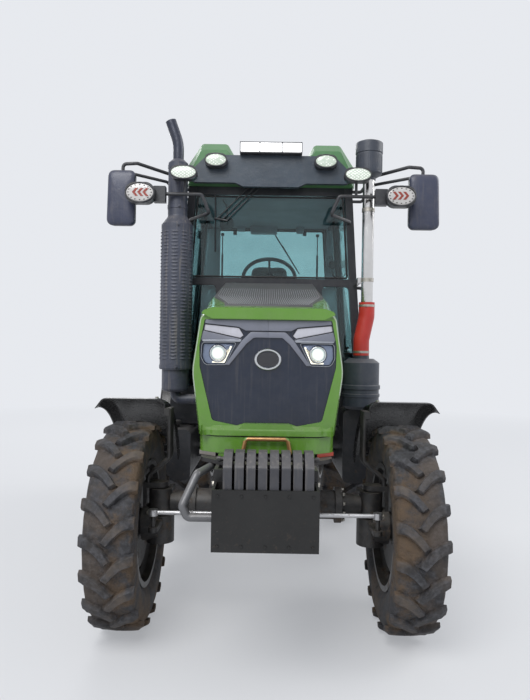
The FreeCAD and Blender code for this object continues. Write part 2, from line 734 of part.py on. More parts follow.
beam_half_outline = [
    (d.kingpin_x - d.barrel_radius + 6, 0), (d.kingpin_x - d.barrel_radius + 6, d.arm_end_radius),
    (d.beam_flange_x + 16, d.beam_radius - 10), (d.beam_flange_x + 16, d.beam_flange_radius),
    (d.beam_flange_x - 16, d.beam_flange_radius), (d.beam_flange_x - 16, d.beam_radius),
    (d.differential_radius + 50, d.beam_radius), (d.differential_radius * 0.7, d.differential_radius, 40),
]
beam_outline = beam_half_outline + [(-corner[0], *corner[1:]) for corner in reversed(beam_half_outline)]
beam = place(revolve(beam_outline, "x"), 0, d.front_axle_y, d.axle_beam_z)
trunnion = rod(d.trunnion_radius, 2 * d.trunnion_reach, 0, behind(-d.trunnion_reach), d.axle_beam_z, "y")
barrels = []
kingpin_bores = []
for side in (1, -1):
    height = d.barrel_top_z - d.barrel_bottom_z
    x = side * d.kingpin_x
    barrels.append(rod(d.barrel_radius, height, x, d.front_axle_y, d.barrel_bottom_z))
    kingpin_bores.append(rod(d.kingpin_radius + d.pin_fit, height + 2, x, d.front_axle_y, d.barrel_bottom_z - 1))
node("front_axle_housing", cut(fuse(beam, trunnion, *barrels), *kingpin_bores))

# Knuckles: final drive case, drum, web, cap and kingpin, with the fender's stay

kingpin = (d.kingpin_x, d.front_axle_y)
case_top = d.barrel_bottom_z - d.swing_gap
cap_bottom = d.barrel_top_z + d.swing_gap
cap_top = cap_bottom + d.knuckle_cap_thick
web_in = d.kingpin_x + d.barrel_radius + d.swing_gap
arm_end_y = behind(-d.steer_arm_reach)
knuckle_solid = fuse(
    rod(d.knuckle_case_radius, case_top - d.knuckle_case_bottom_z, *kingpin, d.knuckle_case_bottom_z),
    cut(rod(d.final_drum_radius, d.final_drum_face_x - d.kingpin_x, *kingpin, d.front_tyre_radius, "x"),
        rod(d.barrel_radius + d.swing_gap, d.final_drum_radius * 2, *kingpin, case_top)),
    block((web_in, web_in + d.knuckle_web),
          (d.front_axle_y - d.knuckle_web_half, d.front_axle_y + d.knuckle_web_half),
          (d.front_tyre_radius, cap_top)),
    block((d.kingpin_x, web_in + d.knuckle_web),
          (d.front_axle_y - d.knuckle_web_half, d.front_axle_y + d.knuckle_web_half),
          (cap_bottom, cap_top)),
    rod(d.knuckle_web_half, d.knuckle_cap_thick, *kingpin, cap_bottom),
    rod(d.kingpin_radius, cap_bottom - case_top + 2, *kingpin, case_top - 1),
    block((d.kingpin_x - d.rod_eye_radius, d.kingpin_x + d.rod_eye_radius),
          (arm_end_y, behind(-d.knuckle_web_half)), (d.steer_arm_z, d.steer_arm_z + d.steer_arm_thick)),
    rod(d.rod_eye_radius, d.steer_arm_thick, d.kingpin_x, arm_end_y, d.steer_arm_z),
    rod(d.cylinder_rod_radius, d.tie_pin_top_z - d.steer_arm_z, d.kingpin_x, arm_end_y, d.steer_arm_z),
)
skirt_low = d.front_tyre_radius + d.front_fender_radius - d.fender_skirt
stay_x = d.kingpin_x - 45
stays = [
    tube([(d.kingpin_x + 62, behind(shift), cap_top - 8), (d.kingpin_x + 62, behind(shift), cap_top + 34),
          (stay_x, behind(shift), cap_top + 126), (stay_x, behind(shift), skirt_low + 46)],
         d.fender_stay_radius, 30)
    for shift in (-28, 28)
]
stub_bore = rod(d.front_stub_radius + d.pin_fit, d.front_stub_length + 4,
                d.final_drum_face_x - d.front_stub_length - 3, d.front_axle_y, d.front_tyre_radius, "x")
fender_seat = block((stay_x, d.front_fender_in_x - d.seat_gap), (behind(-46), behind(46)),
                    (skirt_low + 8, skirt_low + 44))
pair("knuckle", cut(fuse(knuckle_solid, *stays, fender_seat), stub_bore))

# Front fenders: turned shells that ride on the knuckles

fender_top = d.front_fender_radius
fender_in = d.front_fender_in_x
fender_out = d.front_fender_out_x
fender_outline = [
    (fender_in, fender_top - d.fender_skirt), (fender_in + d.fender_wall, fender_top - d.fender_skirt),
    (fender_in + d.fender_wall, fender_top - 24, 12), (fender_in + 46, fender_top - d.fender_wall, 30),
    (fender_out - 48, fender_top - d.fender_wall, 28), (fender_out - d.fender_wall, fender_top - d.fender_lip),
    (fender_out, fender_top - d.fender_lip), (fender_out - 40, fender_top, 34),
    (fender_in + 42, fender_top, 36), (fender_in, fender_top - 20, 14),
]
front_fender = revolve(fender_outline, "x", d.front_fender_arc)
place(front_fender, 0, d.front_axle_y, d.front_tyre_radius, d.front_fender_ahead - d.front_fender_arc)
pair("front_fender", front_fender)

# Steering: a cylinder on the axle, and its double-ended rod with an eye at each end

cylinder_y = behind(-d.steer_arm_reach)
cylinder = rod(d.cylinder_radius, 2 * d.cylinder_half, -d.cylinder_half, cylinder_y, d.cylinder_z, "x")
cylinder_clamps = [
    block((side * 200 - 14, side * 200 + 14), (cylinder_y, behind(-d.beam_radius + 18)),
          (d.cylinder_z - 20, d.cylinder_z + 20))
    for side in (1, -1)
]
rod_bore = rod(d.cylinder_rod_radius + d.pin_fit, 2 * d.cylinder_half + 2, -d.cylinder_half - 1,
               cylinder_y, d.cylinder_z, "x")
clamped_cylinder = cut(fuse(cylinder, *cylinder_clamps), rod_bore)
beam_space = rod(d.beam_radius + d.seat_gap, 500, -250, d.front_axle_y, d.axle_beam_z, "x")
node("steering_cylinder", cut(clamped_cylinder, beam_space))
rod_eyes = [
    rod(d.rod_eye_radius, 30, side * d.kingpin_x, cylinder_y, d.tie_pin_top_z + 5) for side in (1, -1)
]
node("steering_rod", fuse(
    rod(d.cylinder_rod_radius, 2 * d.kingpin_x, -d.kingpin_x, cylinder_y, d.cylinder_z, "x"), *rod_eyes))

# Front frame: two side plates, a front plate, two saddles for the axle's pin, and the lower lip

side_plates = [
    block((low, low + d.frame_plate), (behind(d.frame_front), behind(d.frame_rear)),
          (d.frame_bottom_z, d.frame_top_z))
    for low in (-d.frame_half, d.frame_half - d.frame_plate)
]
front_plate = block((-d.frame_half, d.frame_half), (behind(d.frame_front), behind(d.frame_front + d.frame_plate)),
                    (d.frame_bottom_z, d.frame_top_z))
saddle_outline = [
    (-110, d.saddle_bottom_z, 40), (110, d.saddle_bottom_z, 40), (d.frame_half, d.frame_bottom_z - 10),
    (d.frame_half, d.frame_bottom_z + 4), (-d.frame_half, d.frame_bottom_z + 4),
    (-d.frame_half, d.frame_bottom_z - 10),
]
pin_hole = (0, d.axle_beam_z, d.trunnion_radius + d.pin_fit)
saddles = [
    pad("XZ", saddle_outline, behind(start), d.saddle_plate, [pin_hole])
    for start in (-d.saddle_near - d.saddle_plate, d.saddle_near)
]
lip_outline = [
    (-d.lip_half, behind(-330)), (-d.lip_half, behind(-430), 60), (-120, behind(-600), 160),
    (120, behind(-600), 160), (d.lip_half, behind(-430), 60), (d.lip_half, behind(-330)),
]
lip = pad("XY", lip_outline, d.frame_top_z, d.lip_thick)
node("front_frame", fuse(*side_plates, front_plate, *saddles, lip))

# Weights: a steel box on the frame's front plate, with suitcase weights side by side in it

box_back = behind(d.frame_front)
box_front = behind(d.weight_box_front)
weight_box = cut(
    block((-d.weight_box_half, d.weight_box_half), (box_front, box_back),
          (d.weight_box_bottom_z, d.weight_box_top_z)),
    block((-d.weight_box_half + d.weight_box_wall, d.weight_box_half - d.weight_box_wall),
          (box_front + d.weight_box_wall, box_back - d.weight_box_wall),
          (d.weight_box_bottom_z + d.weight_box_wall, d.weight_box_top_z + 10)),
)
node("weight_box", weight_box)
weight_front = box_front + d.weight_box_wall + 2
weight_back = box_back - d.weight_box_wall - 2
weight_bottom = d.weight_box_bottom_z + d.weight_box_wall + d.seat_gap
weight_outline = [
    (weight_front, weight_bottom), (weight_back, weight_bottom), (weight_back, d.weight_top_z, 24),
    (weight_front + 56, d.weight_top_z, 24), (weight_front, d.weight_face_z, 20),
]
weight_span = (d.weight_count - 1) * d.weight_pitch + d.weight_thick
weights = [
    pad("YZ", weight_outline, d.weight_shift - weight_span / 2 + index * d.weight_pitch, d.weight_thick)
    for index in range(round(d.weight_count.number))
]
node("suitcase_weights", fuse(*weights))
tube_x = -d.weight_box_half
guard_z = d.frame_top_z - d.guard_tube_radius - d.seat_gap
node("guard_tube", tube(
    [(-d.lip_half + 60, behind(-440), guard_z), (-d.lip_half + 10, behind(-640), guard_z),
     (-d.lip_half - 43, behind(-700), d.weight_box_top_z - 88),
     (-d.lip_half - 20, behind(-700), d.weight_box_top_z - 133),
     (tube_x - d.seat_gap, behind(-700), d.weight_box_top_z - 133)],
    d.guard_tube_radius, 22))

# Engine and transmission

engine = block((-d.engine_half, d.engine_half), (behind(d.engine_front), behind(d.frame_rear)),
               (d.engine_bottom_z, d.engine_top_z))
engine_foot_x = d.frame_half - d.frame_plate - d.seat_gap
engine_feet = block((-engine_foot_x, engine_foot_x), (behind(140), behind(240)),
                    (d.engine_bottom_z + 20, d.engine_bottom_z + 90))
node("engine_block", fuse(engine, engine_feet))

clutch_back = [
    (-d.gearbox_half, d.gearbox_bottom_z, 40), (d.gearbox_half, d.gearbox_bottom_z, 40),
    (d.gearbox_half, d.gearbox_top_z, 40), (-d.gearbox_half, d.gearbox_top_z, 40),
]
clutch_front = [
    (-d.engine_half, d.engine_bottom_z - 100, 40), (d.engine_half, d.engine_bottom_z - 100, 40),
    (d.engine_half, d.engine_top_z - 160, 40), (-d.engine_half, d.engine_top_z - 160, 40),
]
clutch_housing = loft("XZ", [(behind(d.frame_rear), clutch_front), (behind(d.gearbox_front), clutch_back)])
gearbox = pad("XZ", clutch_back, behind(d.gearbox_front), d.rear_case_front - d.gearbox_front)
rear_case = block((-d.rear_case_half, d.rear_case_half), (behind(d.rear_case_front), behind(d.rear_case_back)),
                  (d.rear_case_bottom_z, d.gearbox_top_z))
lift_cover = block((-d.lift_cover_half, d.lift_cover_half),
                   (behind(d.lift_cover_front), behind(d.rear_case_back)),
                   (d.gearbox_top_z, d.lift_cover_top_z))
axle_half_outline = [
    (d.axle_flange_x, 0), (d.axle_flange_x, d.axle_flange_radius),
    (d.axle_flange_x - 30, d.axle_flange_radius), (d.axle_flange_x - 30, d.axle_tube_radius),
    (d.rear_case_half + 60, d.axle_tube_radius), (d.rear_case_half - 10, d.axle_flange_radius + 40),
]
axle_outline = axle_half_outline + [(-x, r) for x, r in reversed(axle_half_outline)]
rear_axle = place(revolve(axle_outline, "x"), 0, rear_axle_y, d.rear_tyre_radius)
shaft_tube_start = behind(d.trunnion_reach + 2 + d.seat_gap)
shaft_tube = rod(d.shaft_tube_radius, behind(d.gearbox_front) + 20 - shaft_tube_start, 0, shaft_tube_start,
                 d.axle_beam_z, "y")
pto_shaft = rod(d.pto_radius, d.pto_length, 0, behind(d.rear_case_back), d.pto_z, "y")
link_pins = rod(d.link_pin_radius, 2 * (d.link_x + d.link_thick + 12), -d.link_x - d.link_thick - 12,
                behind(d.link_pivot_y), d.link_pivot_z, "x")
link_brackets = block((-d.rear_case_half, d.rear_case_half),
                      (behind(d.link_pivot_y - 45), behind(d.link_pivot_y + 45)),
                      (d.link_pivot_z - 40, d.rear_case_bottom_z))
mount_pads = [
    rod(34, d.floor_z - d.gearbox_top_z - d.seat_gap, side * 120, behind(y), d.gearbox_top_z)
    for side in (1, -1) for y in (1080, 1900)
]
lift_bore = rod(d.lift_shaft_radius + d.pin_fit, 2 * d.lift_cover_half + 2, -d.lift_cover_half - 1,
                behind(d.lift_pivot_y), d.lift_pivot_z, "x")
stub_bores = [
    rod(d.rear_stub_radius + d.pin_fit, d.rear_stub_length + 4, start, rear_axle_y, d.rear_tyre_radius, "x")
    for start in (d.axle_flange_x - d.rear_stub_length - 3, -d.axle_flange_x - 1)
]
top_pin_y = behind(d.rear_case_back + 40)
top_pin_z = as_size(760)
top_bracket = [
    block((low, low + 14), (behind(d.rear_case_back), top_pin_y + 52), (top_pin_z - 40, top_pin_z + 40))
    for low in (-46, 32)
]
top_rest = block((-40, 40), (top_pin_y + 32, top_pin_y + 52), (top_pin_z - 40, top_pin_z - 17))
top_pin = rod(12.5, 92, -46, top_pin_y, top_pin_z, "x")
transmission = fuse(clutch_housing, gearbox, rear_case, lift_cover, rear_axle, shaft_tube, pto_shaft,
                    link_pins, link_brackets, *mount_pads, *top_bracket, top_rest, top_pin)
node("transmission", cut(transmission, lift_bore, *stub_bores))

# Hood: a lofted shell that tips up about a pin at its rear top edge

# behind the axle; half width at the bottom, at the waist, at the side and on top; height of the same four
HOOD_SECTIONS = [
    (d.hood_front, 304, 342, 306, 250, d.hood_split_z, d.hood_waist_z, 1584, 1627),
    (d.hood_front + d.hood_face, 312, 350, 314, 258, d.hood_split_z, d.hood_waist_z, 1590, 1633),
    (as_size(-250), 318, 366, 318, 270, d.hood_split_z, d.hood_waist_z + 10, 1604, 1658),
    (as_size(0), 320, 354, 328, 300, d.hood_split_z + 40, d.hood_waist_z + 55, 1640, 1704),
    (d.hood_rear, d.hood_rear_half, d.hood_rear_half + 8, d.hood_rear_half - 2, d.hood_rear_half - 18,
     d.hood_rear_bottom_z, 1500, d.hood_rear_top_z - 62, d.hood_rear_top_z),
]


def hood_outline(half_low, half_waist, half_side, half_top, low, waist, side, top, inset, dip):
    """The hood's section, pulled in by a wall and carried down past its lower edge."""
    round_top = d.hood_edge_radius - inset
    right = [
        (as_size(half_low) - inset, as_size(low) - dip), (as_size(half_waist) - inset, as_size(waist), 260),
        (as_size(half_side) - inset, as_size(side), round_top),
        (as_size(half_top) - inset, as_size(top) - inset, round_top),
    ]
    return both_sides(right)


def both_sides(right):
    """A closed outline from its right half, given from the bottom up."""
    return right + [(-as_size(corner[0]), *corner[1:]) for corner in reversed(right)]


def hood_top(y):
    """The height of the hood's top at a place behind the front axle."""
    y = as_size(y)
    for before, after in zip(HOOD_SECTIONS, HOOD_SECTIONS[1:]):
        if number(after[0]) >= y.number:
            break
    share = (y - before[0]) / (after[0] - before[0])
    return before[-1] + share * (as_size(after[-1]) - before[-1])


def mask_outline(inset):
    """The shield-shaped opening in the hood's face, pulled in by a clearance."""
    right = [
        (101, 1100), (138, 1088), (252, 1110, 20), (313, 1357, 60), (315, 1455, 60), (292, 1574, 8),
    ]
    low_edge = [(as_size(x) - inset, as_size(z) + inset) for x, z in right[:2]]
    side_edge = [(as_size(x) - inset, z, *rest) for x, z, *rest in right[2:-1]]
    return both_sides([*low_edge, *side_edge, (right[-1][0] - as_size(inset), right[-1][1] - as_size(inset), 8)])


hood_outer = [(behind(y), hood_outline(*rest, inset=0, dip=0)) for y, *rest in HOOD_SECTIONS]
hood_inner = [(behind(y), hood_outline(*rest, inset=d.hood_wall, dip=30)) for y, *rest in HOOD_SECTIONS[1:]]
hood_inner[-1] = (hood_inner[-1][0] + 1, hood_inner[-1][1])
hood_body = loft("XZ", hood_outer)
document.recompute()
loft("XZ", hood_inner, hood_body, "PartDesign::SubtractiveLoft")
hood_eyes = [
    rod(d.hood_hinge_radius + 12, 30, side * 180 - 15, behind(d.hood_rear + 8), d.hood_hinge_z - 20, "x")
    for side in (1, -1)
]
hood_lugs = [
    block((side * 180 - 15, side * 180 + 15), (behind(d.hood_rear - 70), behind(d.hood_rear + 8)),
          (d.hood_hinge_z - 32, d.hood_hinge_z + 6))
    for side in (1, -1)
]
hinge_bore = rod(d.hood_hinge_radius + d.pin_fit, 2 * d.hood_rear_half, -d.hood_rear_half,
                 behind(d.hood_rear + 8), d.hood_hinge_z - 20, "x")
mask_opening = pad("XZ", mask_outline(0), behind(d.hood_front - 30), d.hood_face + 31)
brow_outline = both_sides([(256, 1577), (306, 1600), (298, 1614), (258, 1628)])
brow = pad("XZ", brow_outline, behind(d.hood_front - d.brow_reach), d.brow_reach + 10)
chin_base = d.hood_split_z


def chin_outline(front):
    """The chin seen from above: square at the hood's face, cut off at its front corners."""
    return [
        (-300, behind(d.hood_front + 10)), (-300, front + 44, 30), (-236, front, 60), (236, front, 60),
        (300, front + 44, 30), (300, behind(d.hood_front + 10)),
    ]


chin_front = behind(d.hood_front - d.chin_reach)
chin = loft("XY", [
    (chin_base, chin_outline(chin_front)), (chin_base + 24, chin_outline(chin_front)),
    (chin_base + 44, chin_outline(chin_front + d.chin_reach - 6)),
])
chin_step = pad("XZ", [(-140, chin_base + 20), (140, chin_base + 20), (104, 1099), (-104, 1099)],
                chin_front + 6, d.chin_reach)
node("hood_shell", cut(fuse(cut(fuse(hood_body, brow), mask_opening), chin, chin_step, *hood_eyes, *hood_lugs),
                       hinge_bore))

# Nose mask: a shield in the hood's face with two lamp pockets, an arch, a blank oval and lens strips

mask_front = behind(d.hood_front + d.nose_set_back)
mask_plate = pad("XZ", mask_outline(d.seat_gap), mask_front, d.nose_depth)
pocket_outline = [(196, 1366, 12), (290, 1364, 30), (308, 1400, 30), (304, 1467, 16), (146, 1469, 8)]
strip_outline = [(112, 1502, 5), (128, 1489, 8), (297, 1524, 5), (292, 1552, 5), (134, 1537, 8)]
arch_outline = [
    (78, 1517), (118, 1478), (196, 1366), (176, 1366), (100, 1462, 10), (66, 1494, 24),
    (-66, 1494, 24), (-100, 1462, 10), (-176, 1366), (-196, 1366), (-118, 1478), (-78, 1517),
]
guide_outline = [(198, 1374, 4), (252, 1374, 4), (252, 1382), (203, 1382), (172, 1452, 3), (163, 1452, 3)]


def on_each_side(outline, start, depth):
    """The same plate on the left and on the right."""
    left = pad("XZ", outline, start, depth)
    return [left, mirrored(left)]


pockets = [
    *on_each_side(pocket_outline, mask_front - 1, d.lamp_pocket + 1),
    *on_each_side(strip_outline, mask_front - 1, d.strip_thick + 1),
]
lens_depth = d.nose_depth - d.lamp_pocket - 6
lens_pockets = [
    rod(d.lamp_radius, lens_depth, side * d.lamp_x, mask_front + d.lamp_pocket - 1, d.lamp_z, "y")
    for side in (1, -1)
]
badge = pad("XZ", [
    (-62, 1352, 40), (62, 1352, 40), (62, 1434, 40), (-62, 1434, 40)], mask_front - 5, 10, [[
        (-52, 1361, 31), (52, 1361, 31), (52, 1425, 31), (-52, 1425, 31)]])
arch = pad("XZ", arch_outline, mask_front - 7, 12)
mask_sockets = cut(mask_plate, *pockets, *lens_pockets)
node("nose_mask", fuse(mask_sockets, badge, arch))
lenses = [
    rod(d.lamp_radius - d.seat_gap, lens_depth + 4, side * d.lamp_x,
        mask_front + d.lamp_pocket - 5 - d.seat_gap, d.lamp_z, "y")
    for side in (1, -1)
]
guides = on_each_side(guide_outline, mask_front + d.lamp_pocket - 8 - d.seat_gap, 8)
strips = on_each_side([(x + dx, z + dz, *rest) for (x, z, *rest), dx, dz in zip(
    strip_outline, (0.6, 0.3, -0.5, -0.5, 0.3), (0, 0.5, 0.5, -0.5, -0.5))], mask_front, d.strip_thick - d.seat_gap)
node("headlamps", fuse(*lenses, *guides, *strips))

# Hood vent: a raised grey panel on the hood's top

vent_rear = d.hood_rear - 30
vent_outline = [
    (-215, behind(-235)), (215, behind(-235)), (284, behind(0)), (278, behind(vent_rear)),
    (-278, behind(vent_rear)), (-284, behind(0)),
]
vent_low = [(behind(y), hood_top(y) + d.seat_gap) for y in (-235, 0, vent_rear)]
vent_slope = vent_low + [(y, z + 9) for y, z in reversed(vent_low)]
vent = document.addObject("Part::MultiCommon", "vent")
vent.Shapes = [pad("XY", vent_outline, 1600, 300), pad("YZ", vent_slope, -300, 600)]
node("hood_vent", vent)

# Lower nose: a U-shaped shell under the hood, with a handle

bumper_front = behind(d.hood_front - 20)
bumper_outline = [
    (-d.bumper_half, bumper_front + d.bumper_depth), (-d.bumper_half, bumper_front + 60, 60),
    (-d.bumper_half + 80, bumper_front, 60), (d.bumper_half - 80, bumper_front, 60),
    (d.bumper_half, bumper_front + 60, 60), (d.bumper_half, bumper_front + d.bumper_depth),
]
inner_half = d.bumper_half - d.bumper_wall
bumper_inside = [
    (-inner_half, bumper_front + d.bumper_depth + 1), (-inner_half, bumper_front + 66, 50),
    (-d.bumper_half + 86, bumper_front + d.bumper_wall, 50), (d.bumper_half - 86, bumper_front + d.bumper_wall, 50),
    (inner_half, bumper_front + 66, 50), (inner_half, bumper_front + d.bumper_depth + 1),
]
bumper_top = d.hood_split_z - 6
bumper = cut(pad("XY", bumper_outline, d.bumper_bottom_z, bumper_top - d.bumper_bottom_z),
             pad("XY", bumper_inside, d.bumper_bottom_z - 1, bumper_top - d.bumper_bottom_z + 2))
bumper_feet = [
    block((side * 205 - 14, side * 205 + 14), (bumper_front + 4, bumper_front + 120),
          (d.frame_top_z + d.lip_thick + d.seat_gap, d.bumper_bottom_z + 20))
    for side in (1, -1)
]
handle_low = d.bumper_bottom_z + 4
handle = tube(
    [(-d.handle_half, bumper_front + 6, handle_low), (-d.handle_half, bumper_front - 22, handle_low),
     (-d.handle_half + 12, bumper_front - 22, handle_low + d.handle_rise),
     (d.handle_half - 12, bumper_front - 22, handle_low + d.handle_rise),
     (d.handle_half, bumper_front - 22, handle_low), (d.handle_half, bumper_front + 6, handle_low)],
    d.handle_radius, 12)
node("lower_nose", fuse(bumper, *bumper_feet, handle))

# Exhaust on the right, held by brackets on the cab's front post

stack = behind(d.stack_y)
muffler_outline = [
    (0, d.muffler_bottom_z), (d.muffler_radius, d.muffler_bottom_z, 20), (d.muffler_radius, d.shield_bottom_z),
    (d.muffler_shield_radius, d.shield_bottom_z), (d.muffler_shield_radius, d.shield_top_z, 30),
    (d.exhaust_tube_radius, d.shield_top_z + 56, 20), (d.exhaust_tube_radius, d.exhaust_tube_top_z),
    (d.tailpipe_radius + d.stack_pipe_wall, d.exhaust_tube_top_z + 24), (0, d.exhaust_tube_top_z + 24),
]
muffler = place(revolve(muffler_outline, "z"), d.muffler_x, stack, 0)
muffler_arms = [
    block((d.muffler_x - 16, d.muffler_x + 16), (stack, behind(d.cab_front) - d.seat_gap), (z, z + 40))
    for z in (1380, 1720)
]
exhaust_inlet = tube(
    [(-d.engine_half - d.seat_gap, behind(540), 1110), (-330, behind(540), 1110), (-400, stack, 1110),
     (d.muffler_x, stack, 1110), (d.muffler_x, stack, d.muffler_bottom_z + 10)], 32, 44)
node("muffler", fuse(muffler, *muffler_arms, exhaust_inlet))
node("tailpipe", tube(
    [(d.muffler_x, stack, d.exhaust_tube_top_z + 24 + d.seat_gap), (d.muffler_x, stack, d.tailpipe_top_z - 142),
     (d.muffler_x - 52, stack, d.tailpipe_top_z)], d.tailpipe_radius, 260, d.stack_pipe_wall))

# Intake on the left: air cleaner, hose, pipe and pre-cleaner

cleaner_outline = [
    (0, d.cleaner_bottom_z), (d.cleaner_radius - 20, d.cleaner_bottom_z), (d.cleaner_radius, d.cleaner_bottom_z + 20),
    (d.cleaner_radius, d.cleaner_bottom_z + 76), (d.cleaner_radius + 5, d.cleaner_bottom_z + 80),
    (d.cleaner_radius + 5, d.cleaner_bottom_z + 96), (d.cleaner_radius, d.cleaner_bottom_z + 100),
    (d.cleaner_radius, d.cleaner_bottom_z + 124), (d.cleaner_radius + 7, d.cleaner_bottom_z + 128),
    (d.cleaner_radius + 7, d.cleaner_bottom_z + 150), (d.cleaner_radius, d.cleaner_bottom_z + 156),
    (d.cleaner_radius, d.cleaner_top_z - 26), (d.cleaner_radius - 36, d.cleaner_top_z, 12),
    (d.hose_radius - 5, d.cleaner_top_z), (d.hose_radius - 5, d.cleaner_top_z + 20), (0, d.cleaner_top_z + 20),
]
cleaner = place(revolve(cleaner_outline, "z"), d.cleaner_x, stack, 0)
cleaner_arm = block((d.cleaner_x - 30, d.cleaner_x + 30), (stack, behind(d.cab_front) - d.seat_gap), (1180, 1260))
node("air_cleaner", fuse(cleaner, cleaner_arm))
hose_start = d.cleaner_top_z + 20 + d.seat_gap
node("intake_hose", tube(
    [(d.cleaner_x, stack, hose_start), (d.cleaner_x, stack, hose_start + 100),
     (d.intake_x, stack, d.hose_top_z - 90), (d.intake_x, stack, d.hose_top_z)], d.hose_radius, 120))
pipe_start = d.hose_top_z + d.seat_gap
pipe_top = d.intake_top_z - pipe_start
intake_pipe = rod(d.intake_radius, pipe_top, d.intake_x, stack, pipe_start)
pipe_arm = block((d.intake_x - 60, d.intake_x - 30), (stack, behind(d.cab_front) - d.seat_gap), (1870, 1902))
node("intake_pipe", fuse(intake_pipe, pipe_arm))
precleaner_cap = d.precleaner_top_z - 82
precleaner_outline = [
    (0, d.intake_top_z + d.seat_gap), (d.intake_radius + 6, d.intake_top_z + d.seat_gap),
    (d.intake_radius + 6, d.intake_top_z + 14), (d.precleaner_radius - 8, d.intake_top_z + 34),
    (d.precleaner_radius - 4, d.intake_top_z + 42), (d.precleaner_radius - 4, precleaner_cap),
    (d.precleaner_radius, precleaner_cap + 4), (d.precleaner_radius, d.precleaner_top_z - 12, 8),
    (d.precleaner_radius - 30, d.precleaner_top_z, 14), (0, d.precleaner_top_z),
]
node("pre_cleaner", place(revolve(precleaner_outline, "z"), d.intake_x, stack, 0))

# Fuel tank on the right, battery box on the left, steps under the doors


def side_box_outline(top):
    return [
        (d.side_box_in_x, d.side_box_bottom_z, d.side_box_round),
        (d.side_box_out_x, d.side_box_bottom_z, d.side_box_round),
        (d.side_box_out_x, top, d.side_box_round), (d.side_box_in_x, top, d.side_box_round),
    ]


side_box_length = d.side_box_back - d.side_box_front
side_box_arm = block((d.gearbox_half + d.seat_gap, d.side_box_in_x + 20), (behind(1120), behind(1180)),
                     (d.side_box_bottom_z + 80, d.side_box_bottom_z + 140))
tank_left = pad("XZ", side_box_outline(d.side_box_top_z), behind(d.side_box_front), side_box_length)
battery_part = pad("XZ", side_box_outline(d.battery_top_z), behind(d.side_box_front),
                   d.cab_front - d.side_box_front - 4)
node("battery_box", fuse(tank_left, side_box_arm, battery_part))
tank_solid = pad("XZ", side_box_outline(d.side_box_top_z), behind(d.side_box_front), side_box_length)
tank_arm = block((d.gearbox_half + d.seat_gap, d.side_box_in_x + 20), (behind(1120), behind(1180)),
                 (d.side_box_bottom_z + 80, d.side_box_bottom_z + 140))
node("fuel_tank", mirrored(fuse(tank_solid, tank_arm)))

step_front = behind(1010)
step_back = behind(1340)
step_in = d.side_box_out_x + d.seat_gap
treads = [
    block((step_in - 60, d.step_out_x), (step_front, step_back), (d.step_low_z, d.step_low_z + d.step_thick)),
    block((step_in, d.step_out_x), (step_front, step_back), (d.step_high_z, d.step_high_z + d.step_thick)),
]
cheeks = [
    block((step_in, d.step_out_x - 30), (y, y + 8), (d.step_low_z, d.step_high_z + d.step_thick))
    for y in (step_front, step_back - 8)
]
steps_left = fuse(*treads, *cheeks)
node("cab_steps", fuse(steps_left, mirrored(steps_left)))

# Cab: leaning side frames with door and window openings, front and rear frames

lean = d.cab_lean


def up(z):
    """A height, measured along the leaning side from the cab's base."""
    return (as_size(z) - d.cab_base_z) / cosine(lean)


def leaning(feature):
    """Stands a side piece on the cab's base and leans it in."""
    return place(feature, d.cab_base_x, 0, d.cab_base_z, -lean, (0, 1, 0))


def side_x(z):
    """The outer face of the cab's side at a height."""
    return d.cab_base_x - (as_size(z) - d.cab_base_z) * tangent(lean)


def side_corners(corners):
    return [(behind(y), up(z), *rest) for y, z, *rest in corners]


def slope_y(z):
    """The front face of the front post at a height above the belt."""
    share = (as_size(z) - d.belt_z) / (d.cab_top_z - d.belt_z)
    return d.cab_front + share * (d.cab_front_top - d.cab_front)


side_outline = side_corners([
    (d.cab_front, d.cab_base_z), (d.cab_front, d.belt_z), (d.cab_front_top, d.cab_top_z),
    (d.cab_back, d.cab_top_z), (d.cab_back, d.cab_base_z),
])
corner = d.door_corner
door_opening = side_corners([
    (d.cab_front + d.post_width, d.door_sill_z, corner), (d.cab_front + d.post_width, d.belt_z),
    (slope_y(d.door_head_z) + d.post_width, d.door_head_z, corner), (d.door_rear, d.door_head_z, corner),
    (d.door_rear, d.door_haunch_z, corner), (d.door_haunch_y, d.door_haunch_z, corner),
    (d.door_heel_y, d.door_sill_z, corner),
])
quarter_opening = side_corners([
    (d.door_rear + d.post_width, d.quarter_bottom_z, corner), (d.cab_back - d.post_width, d.quarter_bottom_z, corner),
    (d.cab_back - d.post_width, d.door_head_z, corner), (d.door_rear + d.post_width, d.door_head_z, corner),
])
side_frame = leaning(pad("YZ", side_outline, -d.cab_tube, d.cab_tube, [door_opening, quarter_opening]))

front_outline = [
    (-side_x(d.cab_base_z) + 20, d.cab_base_z), (side_x(d.cab_base_z) - 20, d.cab_base_z),
    (side_x(d.belt_z) - 20, d.belt_z), (-side_x(d.belt_z) + 20, d.belt_z),
]
low_window = [
    (d.hood_rear_half + 40, 1180, corner), (side_x(1180) - d.cab_tube - 6, 1180, corner),
    (side_x(d.belt_z - 50) - d.cab_tube - 6, d.belt_z - 50, corner), (d.hood_rear_half + 40, d.belt_z - 50, corner),
]
low_window_right = [(-c[0], *c[1:]) for c in reversed(low_window)]
front_frame_plate = pad("XZ", front_outline, behind(d.cab_front), d.cab_tube - 10, [low_window, low_window_right])
header = block((-side_x(d.cab_top_z) + 20, side_x(d.cab_top_z) - 20),
               (behind(slope_y(d.door_head_z)), behind(slope_y(d.door_head_z)) + d.cab_tube),
               (d.door_head_z, d.cab_top_z))
rear_base_half = d.rear_fender_in_x - d.seat_gap
rear_outline = [
    (-rear_base_half, d.gearbox_top_z + 60), (rear_base_half, d.gearbox_top_z + 60),
    (rear_base_half, 1430), (side_x(1430) - 20, 1430), (side_x(d.cab_top_z) - 20, d.cab_top_z),
    (-side_x(d.cab_top_z) + 20, d.cab_top_z), (-side_x(1430) + 20, 1430), (-rear_base_half, 1430),
]
